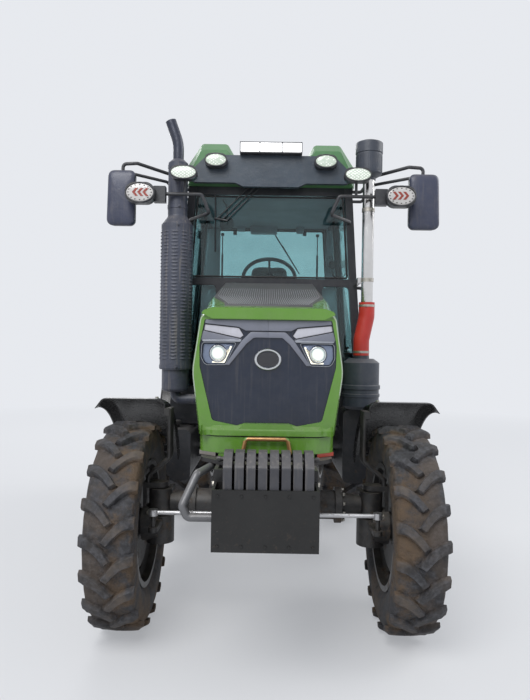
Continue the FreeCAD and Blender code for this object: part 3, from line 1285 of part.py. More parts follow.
rear_window_outline = [
    (-side_x(1500) + 90, 1500, corner), (side_x(1500) - 90, 1500, corner),
    (side_x(d.door_head_z) - 80, d.door_head_z, corner), (-side_x(d.door_head_z) + 80, d.door_head_z, corner),
]
rear_start = behind(d.cab_back - d.cab_tube)
rear_frame = pad("XZ", rear_outline, rear_start, d.cab_tube, [rear_window_outline])
hinge_y = behind(d.door_rear) - d.door_gap / 2
hinge_x = d.hinge_out
hinge_pins = []
for z in (d.hinge_low_z, d.hinge_high_z):
    hinge_pins.append(rod(d.hinge_pin_radius, d.hinge_eye_length + 22, hinge_x, hinge_y, up(z) - 18))
    hinge_pins.append(rod(d.hinge_eye_radius, 18, hinge_x, hinge_y, up(z) - 20))
    hinge_pins.append(block((-4, hinge_x), (hinge_y, hinge_y + 46), (up(z) - 20, up(z) - 2)))
frame_hinges = leaning(fuse(*hinge_pins))
hood_hinge_pin = rod(d.hood_hinge_radius, 2 * 200, -200, behind(d.hood_rear + 8), d.hood_hinge_z - 20, "x")
hood_hinge_arms = [
    block((side * 180 + 16, side * 180 + 26) if side > 0 else (side * 180 - 26, side * 180 - 16),
          (behind(d.hood_rear - 2), behind(d.cab_front + 4)), (d.hood_hinge_z - 32, d.hood_hinge_z - 6))
    for side in (1, -1)
]
fender_space = rod(d.rear_fender_radius + d.seat_gap, 2000, -1000, rear_axle_y, d.rear_tyre_radius, "x")
middle_keep = block((-rear_base_half, rear_base_half), (rear_start, behind(d.cab_back)),
                    (d.gearbox_top_z + 60, 1500))
side_frames = cut(fuse(side_frame, mirrored(side_frame), frame_hinges, mirrored(frame_hinges), front_frame_plate,
                       header), fender_space)
rear_trimmed = cut(rear_frame, cut(fender_space, middle_keep))
node("cab_frame", fuse(side_frames, rear_trimmed, hood_hinge_pin, *hood_hinge_arms))

# Windows: each pane fills its opening at half the frame's depth

glass_depth = (d.cab_tube - d.glass) / 2
quarter_pane = leaning(pad("YZ", quarter_opening, -glass_depth - d.glass, d.glass))
low_pane = pad("XZ", low_window, behind(d.cab_front) + 14, d.glass)
node("side_windows", fuse(quarter_pane, mirrored(quarter_pane), low_pane, mirrored(low_pane)))
node("rear_window", pad("XZ", rear_window_outline, rear_start + glass_depth, d.glass))
screen_lean = Size(math.degrees(math.atan2(d.cab_front.number - d.cab_front_top.number,
                                           d.cab_top_z.number - d.belt_z.number)),
                   f"atan(({d.cab_front.formula} - {d.cab_front_top.formula}) / "
                   f"({d.cab_top_z.formula} - {d.belt_z.formula}))")
screen_height = (d.door_head_z - d.belt_z) / cosine(screen_lean) - 2
screen_outline = [
    (-side_x(d.belt_z) + d.cab_tube + 4, d.seat_gap, 20), (side_x(d.belt_z) - d.cab_tube - 4, d.seat_gap, 20),
    (side_x(d.door_head_z) - d.cab_tube - 4, screen_height, 20),
    (-side_x(d.door_head_z) + d.cab_tube + 4, screen_height, 20),
]
windshield = pad("XZ", screen_outline, 0, d.glass)
node("windshield", place(windshield, 0, behind(d.cab_front + 14), d.belt_z, screen_lean))

# Doors: a frame of rails and stiles with two panes, hinged at its rear edge

gap = d.door_gap
door_outline = side_corners([
    (d.cab_front + d.post_width + gap, d.door_sill_z + gap, corner),
    (d.cab_front + d.post_width + gap, d.belt_z),
    (slope_y(d.door_head_z) + d.post_width + gap, d.door_head_z - gap, corner),
    (d.door_rear - gap, d.door_head_z - gap, corner),
    (d.door_rear - gap, d.door_haunch_z + gap, corner), (d.door_haunch_y - gap, d.door_haunch_z + gap, corner),
    (d.door_heel_y - gap, d.door_sill_z + gap, corner),
])
rail = d.door_rail + gap
front_stile = d.cab_front + d.post_width + rail
upper_pane = side_corners([
    (front_stile, d.door_waist_z + 20, corner), (front_stile, d.belt_z),
    (slope_y(d.door_head_z) + d.post_width + rail, d.door_head_z - rail, corner),
    (d.door_rear - rail, d.door_head_z - rail, corner), (d.door_rear - rail, d.door_waist_z + 20, corner),
])
lower_pane = side_corners([
    (front_stile, d.door_sill_z + rail, corner), (d.door_heel_y - rail, d.door_sill_z + rail, corner),
    (d.door_haunch_y - rail, d.door_haunch_z + 20), (d.door_haunch_y - rail, d.door_waist_z - 26, corner),
    (front_stile, d.door_waist_z - 26, corner),
])
door_leaf = pad("YZ", door_outline, -d.door_thick, d.door_thick, [upper_pane, lower_pane])
door_eyes = []
door_bores = []
for z in (d.hinge_low_z, d.hinge_high_z):
    door_eyes.append(rod(d.hinge_eye_radius, d.hinge_eye_length, hinge_x, hinge_y, up(z)))
    door_eyes.append(block((-4, hinge_x), (hinge_y - 60, hinge_y), (up(z) + 4, up(z) + d.hinge_eye_length - 4)))
    door_bores.append(rod(d.hinge_pin_radius + d.pin_fit, d.hinge_eye_length + 2, hinge_x, hinge_y, up(z) - 1))
door_frame = leaning(cut(fuse(door_leaf, *door_eyes), *door_bores))
pair("door_frame", door_frame)
pane_start = -(d.door_thick + d.glass) / 2
door_glass = leaning(fuse(pad("YZ", upper_pane, pane_start, d.glass), pad("YZ", lower_pane, pane_start, d.glass)))
pair("door_glass", door_glass)

# Cab floor, dashboard, seat and steering wheel

floor_in = behind(d.cab_front + d.cab_tube - 10) + d.seat_gap
floor_half = side_x(d.floor_z + d.floor_thick) - d.cab_tube - 2
floor_back_half = rear_base_half - 1
floor_outline = [
    (-floor_half, floor_in), (floor_half, floor_in), (floor_half, behind(1420)), (floor_back_half, behind(1430)),
    (floor_back_half, rear_start - d.seat_gap), (-floor_back_half, rear_start - d.seat_gap),
    (-floor_back_half, behind(1430)), (-floor_half, behind(1420)),
]
node("cab_floor", pad("XY", floor_outline, d.floor_z, d.floor_thick))
floor_top = d.floor_z + d.floor_thick
dash_outline = [
    (floor_in, floor_top + d.seat_gap), (behind(1090), floor_top + d.seat_gap), (behind(1130), 1500, 30),
    (behind(1240), 1690, 30), (behind(1210), 1800, 30), (behind(1060), 1935, 30), (floor_in, 1935),
]
dash = pad("YZ", dash_outline, -180, 360)
tilt = d.wheel_tilt
column_length = as_size(400)
column_foot_y = behind(d.steering_wheel_y) - column_length * sine(tilt)
column_foot_z = d.steering_wheel_z - column_length * cosine(tilt)
column = fuse(rod(28, column_length - 40, 0, 0, 0), rod(d.column_radius, column_length - 6, 0, 0, 0))
place(column, 0, column_foot_y, column_foot_z, -tilt)
node("dashboard", fuse(dash, column))

steering_ring = document.addObject("Part::Torus", "steering_ring")
bind(steering_ring, "Radius1", d.steering_wheel_radius)
bind(steering_ring, "Radius2", d.steering_rim_radius)


def spoke(turn):
    """A round spoke from the hub out to the rim."""
    feature = document.addObject("Part::Cylinder", "spoke")
    bind(feature, "Radius", 8)
    bind(feature, "Height", d.steering_wheel_radius)
    direction = Vector(math.cos(math.radians(turn)), math.sin(math.radians(turn)), 0)
    feature.Placement = Placement(Vector(), Rotation(Vector(0, 0, 1), direction))
    return feature


wheel_hub = rod(34, 36, 0, 0, -26)
hub_bore = rod(d.column_radius + d.pin_fit, 28, 0, 0, -30)
steering_wheel = cut(fuse(steering_ring, wheel_hub, *(spoke(turn) for turn in (30, 150, 270))), hub_bore)
node("steering_wheel", place(steering_wheel, 0, behind(d.steering_wheel_y), d.steering_wheel_z, -tilt))

seat_solid = fuse(
    block((-150, 150), (behind(d.seat_front + 80), behind(d.seat_front + 400)),
          (floor_top + d.seat_gap, d.seat_z - 110)),
    block((-d.seat_half, d.seat_half), (behind(d.seat_front), behind(d.seat_front + 440)),
          (d.seat_z - 110, d.seat_z)),
    block((-d.seat_half + 10, d.seat_half - 10), (behind(d.seat_front + 400), behind(d.seat_front + 500)),
          (d.seat_z - 60, d.seat_back_top_z)),
)
node("seat", seat_solid)

# Roof: a lofted cap with a ridge along each side, and a visor at its front

# behind the axle, share of the half width, drop of the ridges
ROOF_SECTIONS = [
    (d.roof_front, 0.96, 60), (d.roof_front + 70, 1.0, 0), (d.roof_back - 170, 1.0, 10), (d.roof_back, 0.93, 75),
]
roof_base_z = d.cab_top_z + d.seat_gap


def roof_outline(share, drop):
    half = d.roof_half * share
    right = [
        (half, roof_base_z), (half, d.roof_edge_z - drop, 20), (d.roof_half * 0.82, d.roof_ear_z - drop, 30),
        (d.roof_half * 0.52, d.roof_ear_z - drop, 30), (d.roof_half * 0.42, d.roof_mid_z - drop * 0.5, 30),
    ]
    return right + [(-c[0], *c[1:]) for c in reversed(right)]


node("roof", loft("XZ", [(behind(y), roof_outline(share, drop)) for y, share, drop in ROOF_SECTIONS]))
visor_half = d.roof_half * 0.94
visor_outline = [
    (-180, d.visor_mid_z, 20), (180, d.visor_mid_z, 20), (230, d.visor_side_z, 30),
    (visor_half, d.visor_side_z, 40), (visor_half, d.roof_edge_z - 60, 30), (visor_half - 110, d.visor_top_z, 30),
    (-visor_half + 110, d.visor_top_z, 30), (-visor_half, d.roof_edge_z - 60, 30),
    (-visor_half, d.visor_side_z, 40), (-230, d.visor_side_z, 30),
]
visor_start = behind(d.roof_front) - d.visor_thick - d.seat_gap
node("roof_visor", pad("XZ", visor_outline, visor_start, d.visor_thick))
lamp_back = visor_start - d.seat_gap


def oval_lamp(x, z, half_wide, half_tall, depth, back):
    """An oval lamp whose back lies on a face."""
    outline = [
        (x - half_wide, z - half_tall, half_tall * 0.92), (x + half_wide, z - half_tall, half_tall * 0.92),
        (x + half_wide, z + half_tall, half_tall * 0.92), (x - half_wide, z + half_tall, half_tall * 0.92),
    ]
    return pad("XZ", outline, back - depth, depth)


roof_lamps = [oval_lamp(side * 352, 2640, 72, 42, 60, lamp_back) for side in (1, -1)]
light_bar = block((-200, 200), (behind(d.roof_front) - 90, behind(d.roof_front) + 30),
                  (d.visor_top_z + d.seat_gap, d.visor_top_z + 72))

# Mirrors, indicators and side work lamps on tubes from the front posts

post_y = behind(d.cab_front_top + 20)
mirror_y = behind(d.mirror_y)


def mirror(x, half_wide):
    """A left mirror: its shell, two tubes from the front post and a strut between them."""
    mid_z = d.mirror_z
    shell = pad("XZ", [
        (x - half_wide, mid_z - 172, 36), (x + half_wide, mid_z - 172, 44),
        (x + half_wide - 8, mid_z + 172, 44), (x - half_wide, mid_z + 172, 36)], mirror_y - 20, 44)
    arm_y = mirror_y + 30
    upper, lower = d.mirror_arm_z, d.mirror_arm_z - 84
    upper_foot, lower_foot = upper - 112, lower - 92
    upper_seat = side_x(upper_foot - 11) + d.seat_gap
    lower_seat = side_x(lower_foot - 10) + d.seat_gap
    return fuse(
        shell,
        tube([(upper_seat, post_y, upper_foot), (upper_seat + 60, post_y, upper_foot),
              (upper_seat + 120, post_y - 50, upper - 24), (x - 90, arm_y, upper + 6), (x, arm_y, upper),
              (x, arm_y, mid_z + 20)], 11, 24),
        tube([(lower_seat, post_y, lower_foot), (lower_seat + 60, post_y, lower_foot),
              (lower_seat + 130, post_y - 50, lower + 8), (x - 30, arm_y, lower + 30),
              (x, arm_y, lower + 30)], 10, 24),
    )


node("mirrors", fuse(mirror(d.mirror_left_x, d.mirror_left_half),
                     mirrored(mirror(d.mirror_right_x, d.mirror_right_half))))
side_lamp_back = behind(d.side_lamp_y)
frame_y = side_lamp_back + 22
frame_foot = d.side_tube_z - 112
frame_seat = behind(slope_y(frame_foot + 11)) - d.seat_gap
side_lamps = fuse(
    oval_lamp(d.indicator_x, d.indicator_z, 92, 64, 60, side_lamp_back),
    oval_lamp(d.side_lamp_x, d.side_lamp_z, 82, 42, 60, side_lamp_back),
    tube([(d.indicator_x - 90, frame_y, d.side_tube_z), (430, frame_y, d.side_tube_z),
          (382, frame_y + 16, frame_foot), (525, frame_seat - 50, frame_foot), (525, frame_seat, frame_foot)], 11, 20),
    rod(9, d.side_lamp_z - d.side_tube_z, d.side_lamp_x, frame_y, d.side_tube_z),
    block((d.side_lamp_x - 15, d.side_lamp_x + 15), (side_lamp_back - 6, frame_y + 8),
          (d.side_lamp_z - 22, d.side_lamp_z + 14)),
    block((d.indicator_x - 148, d.indicator_x - 74), (side_lamp_back - 12, frame_y + 20),
          (d.indicator_z - 44, d.indicator_z + 54)),
)

# Rear fenders: turned shells with the cab's inner side wall, and lamps at their rear

rear_top = d.rear_fender_radius
wall_in = d.rear_fender_in_x
rear_fender_outline = [
    (wall_in, 480), (wall_in + d.fender_wall, 480), (wall_in + d.fender_wall, rear_top - d.fender_wall),
    (d.rear_fender_out_x - d.fender_wall, rear_top - d.fender_wall), (d.rear_fender_out_x - d.fender_wall, rear_top - 42),
    (d.rear_fender_out_x, rear_top - 42), (d.rear_fender_out_x, rear_top, 20), (wall_in, rear_top),
]
rear_fender = revolve(rear_fender_outline, "x", d.rear_fender_arc)
place(rear_fender, 0, rear_axle_y, d.rear_tyre_radius, d.rear_fender_ahead - d.rear_fender_arc)
pair("rear_fender", rear_fender)
rear_lamp = cut(block((700, 800), (behind(2610), behind(2660)), (1200, 1370)), fender_space)
node("work_lamps", fuse(*roof_lamps, light_bar, side_lamps, mirrored(side_lamps), rear_lamp,
                        mirrored(rear_lamp)))

# Rear hitch: drawbar, lower links, lift arms with their shaft, lift rods and top link

drawbar_eye = rod(d.drawbar_half, d.drawbar_thick, 0, behind(d.drawbar_end), d.drawbar_z)
drawbar_bar = block((-d.drawbar_half, d.drawbar_half), (behind(2080), behind(d.drawbar_end)),
                    (d.drawbar_z, d.drawbar_z + d.drawbar_thick))
drawbar_hangers = [
    block((-d.drawbar_half, d.drawbar_half), (behind(y), behind(y + 40)),
          (d.drawbar_z + d.drawbar_thick - 2, d.rear_case_bottom_z - d.seat_gap))
    for y in (2100, 2340)
]
drawbar_hole = rod(d.drawbar_hole_radius, d.drawbar_thick + 2, 0, behind(d.drawbar_end), d.drawbar_z - 1)
node("drawbar", cut(fuse(drawbar_eye, drawbar_bar, *drawbar_hangers), drawbar_hole))

link_outline = [
    (behind(d.link_pivot_y), d.link_pivot_z - 26), (behind(d.link_pivot_y + 380), d.link_pivot_z - 90),
    (behind(d.link_end_y), d.link_end_z - 26), (behind(d.link_end_y), d.link_end_z + 26),
    (behind(d.link_pivot_y + 380), d.link_pivot_z - 14), (behind(d.link_pivot_y), d.link_pivot_z + 26),
]
link_start = d.link_x - d.link_thick / 2
link_eye_start = d.link_x - 20
link = cut(
    fuse(pad("YZ", link_outline, link_start, d.link_thick),
         rod(d.link_eye_radius, 40, link_eye_start, behind(d.link_pivot_y), d.link_pivot_z, "x"),
         rod(d.link_eye_radius, 40, link_eye_start, behind(d.link_end_y), d.link_end_z, "x")),
    rod(d.link_pin_radius + d.pin_fit, 42, link_eye_start - 1, behind(d.link_pivot_y), d.link_pivot_z, "x"),
    rod(d.link_bore_radius, 42, link_eye_start - 1, behind(d.link_end_y), d.link_end_z, "x"),
)
node("lower_links", fuse(link, mirrored(link)))

arm_outline = [
    (behind(d.lift_pivot_y - 10), d.lift_pivot_z - 34), (behind(d.lift_arm_end_y), d.lift_arm_end_z - 22),
    (behind(d.lift_arm_end_y), d.lift_arm_end_z + 22), (behind(d.lift_pivot_y - 10), d.lift_pivot_z + 34),
]
lift_shaft = rod(d.lift_shaft_radius, 2 * d.lift_arm_x, -d.lift_arm_x, behind(d.lift_pivot_y), d.lift_pivot_z, "x")
lift_arm = fuse(
    pad("YZ", arm_outline, d.lift_arm_x, d.lift_arm_thick),
    rod(46, d.lift_arm_thick, d.lift_arm_x, behind(d.lift_pivot_y), d.lift_pivot_z, "x"),
    rod(24, d.lift_arm_thick, d.lift_arm_x, behind(d.lift_arm_end_y), d.lift_arm_end_z, "x"),
    rod(11, d.lift_arm_thick + 44, d.lift_arm_x, behind(d.lift_arm_end_y), d.lift_arm_end_z, "x"),
)
node("lift_arms", fuse(lift_shaft, lift_arm, mirrored(lift_arm)))

rod_top_x = d.lift_arm_x + d.lift_arm_thick + 6
rod_eye = rod(23, 24, rod_top_x, behind(d.lift_arm_end_y), d.lift_arm_end_z, "x")
rod_low_x = link_start - 24
rod_low = (behind(d.lift_arm_end_y + 130), d.link_pivot_z - 68)
lift_rod = cut(
    fuse(rod_eye,
         tube([(rod_top_x + 12, behind(d.lift_arm_end_y), d.lift_arm_end_z - 15), (rod_low_x + 4, *rod_low)],
              d.lift_rod_radius, 10),
         rod(23, 20, rod_low_x, *rod_low, "x")),
    rod(11 + d.pin_fit, 26, rod_top_x - 1, behind(d.lift_arm_end_y), d.lift_arm_end_z, "x"),
)
node("lift_rods", fuse(lift_rod, mirrored(lift_rod)))

top_link_end = (behind(d.rear_case_back + 560), top_pin_z + 60)
top_link = cut(
    fuse(rod(28, 50, -25, top_pin_y, top_pin_z, "x"),
         tube([(0, top_pin_y, top_pin_z), (0, *top_link_end)], 20, 10),
         rod(28, 50, -25, *top_link_end, "x")),
    rod(12.5 + d.pin_fit, 52, -26, top_pin_y, top_pin_z, "x"),
    rod(9.7, 52, -26, *top_link_end, "x"),
)
node("top_link", top_link)

# Check and write

document.recompute()
for feature in document.Objects:
    if "Invalid" in feature.State or "Error" in feature.State:
        raise RuntimeError(f"{feature.Label} ({feature.Name}) failed: {feature.State}")
for label, feature in nodes.items():
    if feature.Shape.isNull() or not feature.Shape.isValid() or not feature.Shape.Solids:
        raise RuntimeError(f"{label} has no valid solid")
os.makedirs("parts", exist_ok=True)
for label, feature in nodes.items():
    feature.Shape.exportStep(f"parts/{label}.step")
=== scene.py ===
"""Finishes, fasteners, lamps and cab fittings of a farm tractor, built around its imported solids."""

import math

import bmesh
import bpy
from mathutils import Matrix, Vector, noise as relief


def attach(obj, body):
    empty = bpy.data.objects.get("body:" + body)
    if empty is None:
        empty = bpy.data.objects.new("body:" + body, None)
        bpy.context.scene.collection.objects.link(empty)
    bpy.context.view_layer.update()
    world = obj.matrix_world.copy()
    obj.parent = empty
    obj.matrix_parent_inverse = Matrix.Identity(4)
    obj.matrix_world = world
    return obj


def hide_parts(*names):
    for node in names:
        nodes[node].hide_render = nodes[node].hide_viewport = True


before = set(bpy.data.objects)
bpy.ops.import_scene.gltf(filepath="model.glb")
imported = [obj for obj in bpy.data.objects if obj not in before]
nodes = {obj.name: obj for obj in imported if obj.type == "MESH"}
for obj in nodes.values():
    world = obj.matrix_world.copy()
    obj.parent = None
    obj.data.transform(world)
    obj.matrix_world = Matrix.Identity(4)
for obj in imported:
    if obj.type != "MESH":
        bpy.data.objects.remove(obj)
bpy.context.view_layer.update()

# The view of the photograph: the camera stands on the tractor's middle line ahead of the front axle, at
# the height of the hood, and is turned a little about its own line of sight.
front_axle_y = -1.160
camera_ahead, camera_height = 3.2, 1.45
camera_data = bpy.data.cameras.new("camera")
camera_data.sensor_width = 36
camera_data.lens = 31.42
camera = bpy.data.objects.new("camera", camera_data)
camera.matrix_world = (
    Matrix.Translation((0, front_axle_y - camera_ahead, camera_height))
    @ Matrix.Rotation(math.radians(0.28), 4, "Z")
    @ Matrix.Rotation(math.radians(89.72), 4, "X")
    @ Matrix.Rotation(math.radians(0.9), 4, "Z")
)
bpy.context.scene.collection.objects.link(camera)
bpy.context.scene.camera = camera
bpy.context.scene.view_settings.view_transform = "Standard"

# The studio: an even pale sky all round, three large soft lamps, and a pale floor that runs to the
# horizon, shows nearly white to the camera and keeps the tractor's shadow.
world = bpy.data.worlds.new("pale_sky")
bpy.context.scene.world = world
world.use_nodes = True
sky = world.node_tree


def add(tree, kind, values=(), **settings):
    """A shader node; its inputs are set to values or joined to other nodes' outputs."""
    made = tree.nodes.new(kind)
    for name, value in settings.items():
        setattr(made, name, value)
    for key, value in dict(values).items():
        if isinstance(value, bpy.types.NodeSocket):
            tree.links.new(value, made.inputs[key])
        else:
            made.inputs[key].default_value = value
    return made


def seen_directly(tree):
    """1 for rays from the camera and for those that glass and gloss send on."""
    path = add(tree, "ShaderNodeLightPath").outputs
    through = add(tree, "ShaderNodeMath", {0: path["Is Glossy Ray"], 1: path["Is Transmission Ray"]},
                  operation="MAXIMUM")
    return add(tree, "ShaderNodeMath", {0: through.outputs[0], 1: path["Is Camera Ray"]},
               operation="MAXIMUM").outputs[0]


def object_place(tree):
    """The place on a piece, in metres."""
    return add(tree, "ShaderNodeTexCoord").outputs["Object"]


sky_light = sky.nodes["Background"]
sky_light.inputs["Color"].default_value = (0.72, 0.76, 0.84, 1)
sky_light.inputs["Strength"].default_value = 0.62
horizon = (0.80, 0.82, 0.86, 1)
sky_shown = add(sky, "ShaderNodeBackground", {"Color": horizon, "Strength": 1.0})
sky_mix = add(sky, "ShaderNodeMixShader",
              {0: seen_directly(sky), 1: sky_light.outputs[0], 2: sky_shown.outputs[0]})
sky.links.new(sky_mix.outputs[0], sky.nodes["World Output"].inputs["Surface"])


def soft_lamp(name, place, aim, size, power):
    """A round area lamp at a place, turned towards its aim."""
    data = bpy.data.lights.new(name, "AREA")
    data.shape = "DISK"
    data.size = size
    data.energy = power
    lamp = bpy.data.objects.new(name, data)
    towards = (Vector(aim) - Vector(place)).to_track_quat("-Z", "Y").to_matrix().to_4x4()
    lamp.matrix_world = Matrix.Translation(place) @ towards
    bpy.context.scene.collection.objects.link(lamp)


soft_lamp("overcast_lamp", (-2.5, -7.0, 8.0), (0, -0.5, 1.0), 6.0, 620)
soft_lamp("side_lamp", (7.5, 1.0, 6.0), (0, 0, 1.2), 5.0, 260)
soft_lamp("rear_lamp", (-3.0, 7.5, 6.0), (0, 0, 1.2), 5.0, 260)


def new_object(name, mesh):
    made = bpy.data.objects.new(name, mesh)
    bpy.context.scene.collection.objects.link(made)
    return made


def new_material(name, colour, roughness, metallic=0.0):
    """A material with its shader, ready for more nodes."""
    made = bpy.data.materials.new(name)
    made.use_nodes = True
    tree = made.node_tree
    shader = tree.nodes["Principled BSDF"]
    shader.inputs["Base Color"].default_value = (*colour, 1)
    shader.inputs["Roughness"].default_value = roughness
    shader.inputs["Metallic"].default_value = metallic
    return made, tree, shader


floor_mesh = bpy.data.meshes.new("floor")
floor_reach = 300
floor_mesh.from_pydata(
    [(x * floor_reach, y * floor_reach, 0) for x, y in ((-1, -1), (1, -1), (1, 1), (-1, 1))], [], [(0, 1, 2, 3)])
floor = new_object("floor", floor_mesh)
floor_paint, floor_tree, floor_shader = new_material("pale_floor", (0.70, 0.70, 0.70), 0.9)
floor_grain = add(floor_tree, "ShaderNodeTexNoise", {"Scale": 40.0})
floor_tone = add(floor_tree, "ShaderNodeMapRange",
                 {"Value": floor_grain.outputs["Fac"], "To Min": 0.66, "To Max": 0.72}).outputs[0]
floor_colour = add(floor_tree, "ShaderNodeCombineColor", {key: floor_tone for key in ("Red", "Green", "Blue")})
floor_tree.links.new(floor_colour.outputs[0], floor_shader.inputs["Base Color"])
floor_glow = add(floor_tree, "ShaderNodeEmission", {"Color": horizon, "Strength": 1.0})
floor_place = object_place(floor_tree)
floor_far = add(floor_tree, "ShaderNodeVectorMath", {0: floor_place}, operation="LENGTH").outputs["Value"]
floor_share = add(floor_tree, "ShaderNodeMapRange",
                  {"Value": floor_far, "From Min": 2.5, "From Max": 11.0, "To Min": 0.42, "To Max": 1.0})
floor_part = add(floor_tree, "ShaderNodeMath", {0: seen_directly(floor_tree), 1: floor_share.outputs[0]},
                 operation="MULTIPLY")
floor_mix = add(floor_tree, "ShaderNodeMixShader",
                {0: floor_part.outputs[0], 1: floor_shader.outputs[0], 2: floor_glow.outputs[0]})
floor_tree.links.new(floor_mix.outputs[0], floor_tree.nodes["Material Output"].inputs["Surface"])
floor_mesh.materials.append(floor_paint)

# Tyres: black rubber over a carcass, with hooked lugs in a herringbone, scuffed grey on top. Brown
# soil is packed between the lugs and dried in a film over the shoulders.
wet_soil = (0.045, 0.030, 0.020)
dry_soil = (0.190, 0.128, 0.078)
dust = (0.27, 0.24, 0.21)


def mix(tree, factor, low, high):
    """A colour between two, each a colour or a node's output."""
    def colour(value):
        return value if isinstance(value, bpy.types.NodeSocket) else (*value, 1)

    return add(tree, "ShaderNodeMix", {0: factor, 6: colour(low), 7: colour(high)}, data_type="RGBA").outputs[2]


def spread(tree, value, low, high, to_low=0.0, to_high=1.0):
    """A value's range, stretched smoothly to another range."""
    return add(tree, "ShaderNodeMapRange",
               {"Value": value, "From Min": low, "From Max": high, "To Min": to_low, "To Max": to_high},
               interpolation_type="SMOOTHSTEP").outputs[0]


def times(tree, first, second, operation="MULTIPLY"):
    """Two values multiplied, or combined in another way, and held between 0 and 1."""
    return add(tree, "ShaderNodeMath", {0: first, 1: second}, operation=operation, use_clamp=True).outputs[0]


def noise(tree, place, scale, detail=4.0, roughness=0.55):
    return add(tree, "ShaderNodeTexNoise",
               {"Vector": place, "Scale": scale, "Detail": detail, "Roughness": roughness}).outputs["Fac"]


def raised(tree, height, distance, strength=0.6, under=None):
    """A bump of a height, on top of another bump."""
    values = {"Height": height, "Strength": strength, "Distance": distance}
    if under is not None:
        values["Normal"] = under
    return add(tree, "ShaderNodeBump", values).outputs[0]


def tyre_rubber(name, axle_y, axle_z, tread_base, wheel_x, half_width):
    """Rubber whose soil lies by distance from the axle: packed at the tread's base, thin on the walls."""
    made, tree, shader = new_material(name, (0.04, 0.037, 0.036), 0.75)
    place = object_place(tree)
    from_axle = add(tree, "ShaderNodeMapping",
                    {"Vector": place, "Location": (0, -axle_y, -axle_z), "Scale": (0, 1, 1)}).outputs[0]
    reach = add(tree, "ShaderNodeVectorMath", {0: from_axle}, operation="LENGTH").outputs["Value"]
    across = add(tree, "ShaderNodeMath", {0: add(tree, "ShaderNodeSeparateXYZ", {0: place}).outputs["X"]},
                 operation="ABSOLUTE").outputs[0]
    cake = noise(tree, place, 6.0, 9.0, 0.66)
    crumbs = noise(tree, place, 42.0, 6.0, 0.7)
    fine = noise(tree, place, 240.0, 3.0, 0.6)
    groove = spread(tree, reach, tread_base + 0.020, tread_base + 0.002)
    outer = spread(tree, reach, tread_base - 0.17, tread_base - 0.03)
    inner_side = spread(tree, across, wheel_x + half_width * 0.55, wheel_x - half_width * 0.7, 0.28, 1.0)
    packed = times(tree, times(tree, groove, outer), spread(tree, cake, 0.40, 0.60))
    packed = times(tree, packed, inner_side)
    scuffed = spread(tree, crumbs, 0.35, 0.72)
    rubber = mix(tree, scuffed, (0.018, 0.018, 0.020), (0.088, 0.088, 0.096))
    film = times(tree, times(tree, spread(tree, cake, 0.42, 0.66), 0.75), inner_side)
    rubber = mix(tree, film, rubber, (0.135, 0.104, 0.078))
    rubber = mix(tree, spread(tree, noise(tree, place, 15.0, 5.0, 0.6), 0.58, 0.72, 0.0, 0.7), rubber,
                 (0.022, 0.019, 0.017))
    earth = mix(tree, crumbs, wet_soil, dry_soil)
    tone = mix(tree, packed, rubber, earth)
    tree.links.new(tone, shader.inputs["Base Color"])
    tree.links.new(spread(tree, crumbs, 0.3, 0.7, 0.62, 0.95), shader.inputs["Roughness"])
    clods = raised(tree, times(tree, packed, crumbs), 0.012, 0.9)
    crumbled = raised(tree, crumbs, 0.003, 0.5, clods)
    tree.links.new(raised(tree, fine, 0.0008, 0.5, crumbled), shader.inputs["Normal"])
    return made


def lathe(form, profile, centre, axis="x", steps=48, closed=False):
    """Adds a turned form; its profile lists places along the axis and distances from it."""
    order = {"x": ((1, 0, 0), (0, 1, 0), (0, 0, 1)), "y": ((0, 1, 0), (0, 0, 1), (1, 0, 0)),
             "z": ((0, 0, 1), (1, 0, 0), (0, 1, 0))}
    along, across, upward = (Vector(way) for way in order[axis])
    centre = Vector(centre)
    rings = []
    for place, reach in profile:
        turns = [0] if reach < 1e-6 else [2 * math.pi * step / steps for step in range(steps)]
        rings.append([form.verts.new(
            centre + along * place + (across * math.cos(turn) + upward * math.sin(turn)) * reach) for turn in turns])
    for before, after in zip(rings, rings[1:] + (rings[:1] if closed else [])):
        for step in range(max(len(before), len(after))):
            corners = [before[step % len(before)], before[(step + 1) % len(before)],
                       after[(step + 1) % len(after)], after[step % len(after)]]
            corners = list(dict.fromkeys(corners))
            if len(corners) > 2:
                form.faces.new(corners)


def skin(form, rings, closed=False):
    """Adds a form through rings of points; it ends in two caps, or closed runs back into its first ring."""
    loops = [[form.verts.new(point) for point in ring] for ring in rings]
    for before, after in zip(loops, loops[1:] + (loops[:1] if closed else [])):
        for step in range(len(before)):
            following = (step + 1) % len(before)
            form.faces.new((before[step], before[following], after[following], after[step]))
    if not closed:
        form.faces.new(loops[0][::-1])
        form.faces.new(loops[-1])


def finished(name, form, material, crease=38):
    """Turns a form into an object; faces that meet below the crease angle shade smoothly."""
    bmesh.ops.remove_doubles(form, verts=form.verts, dist=1e-6)
    bmesh.ops.recalc_face_normals(form, faces=form.faces)
    for face in form.faces:
        face.smooth = True
    for edge in form.edges:
        edge.smooth = edge.calc_face_angle(0.0) < math.radians(crease)
    mesh = bpy.data.meshes.new(name)
    form.to_mesh(mesh)
    form.free()
    mesh.materials.append(material)
    return new_object(name, mesh)


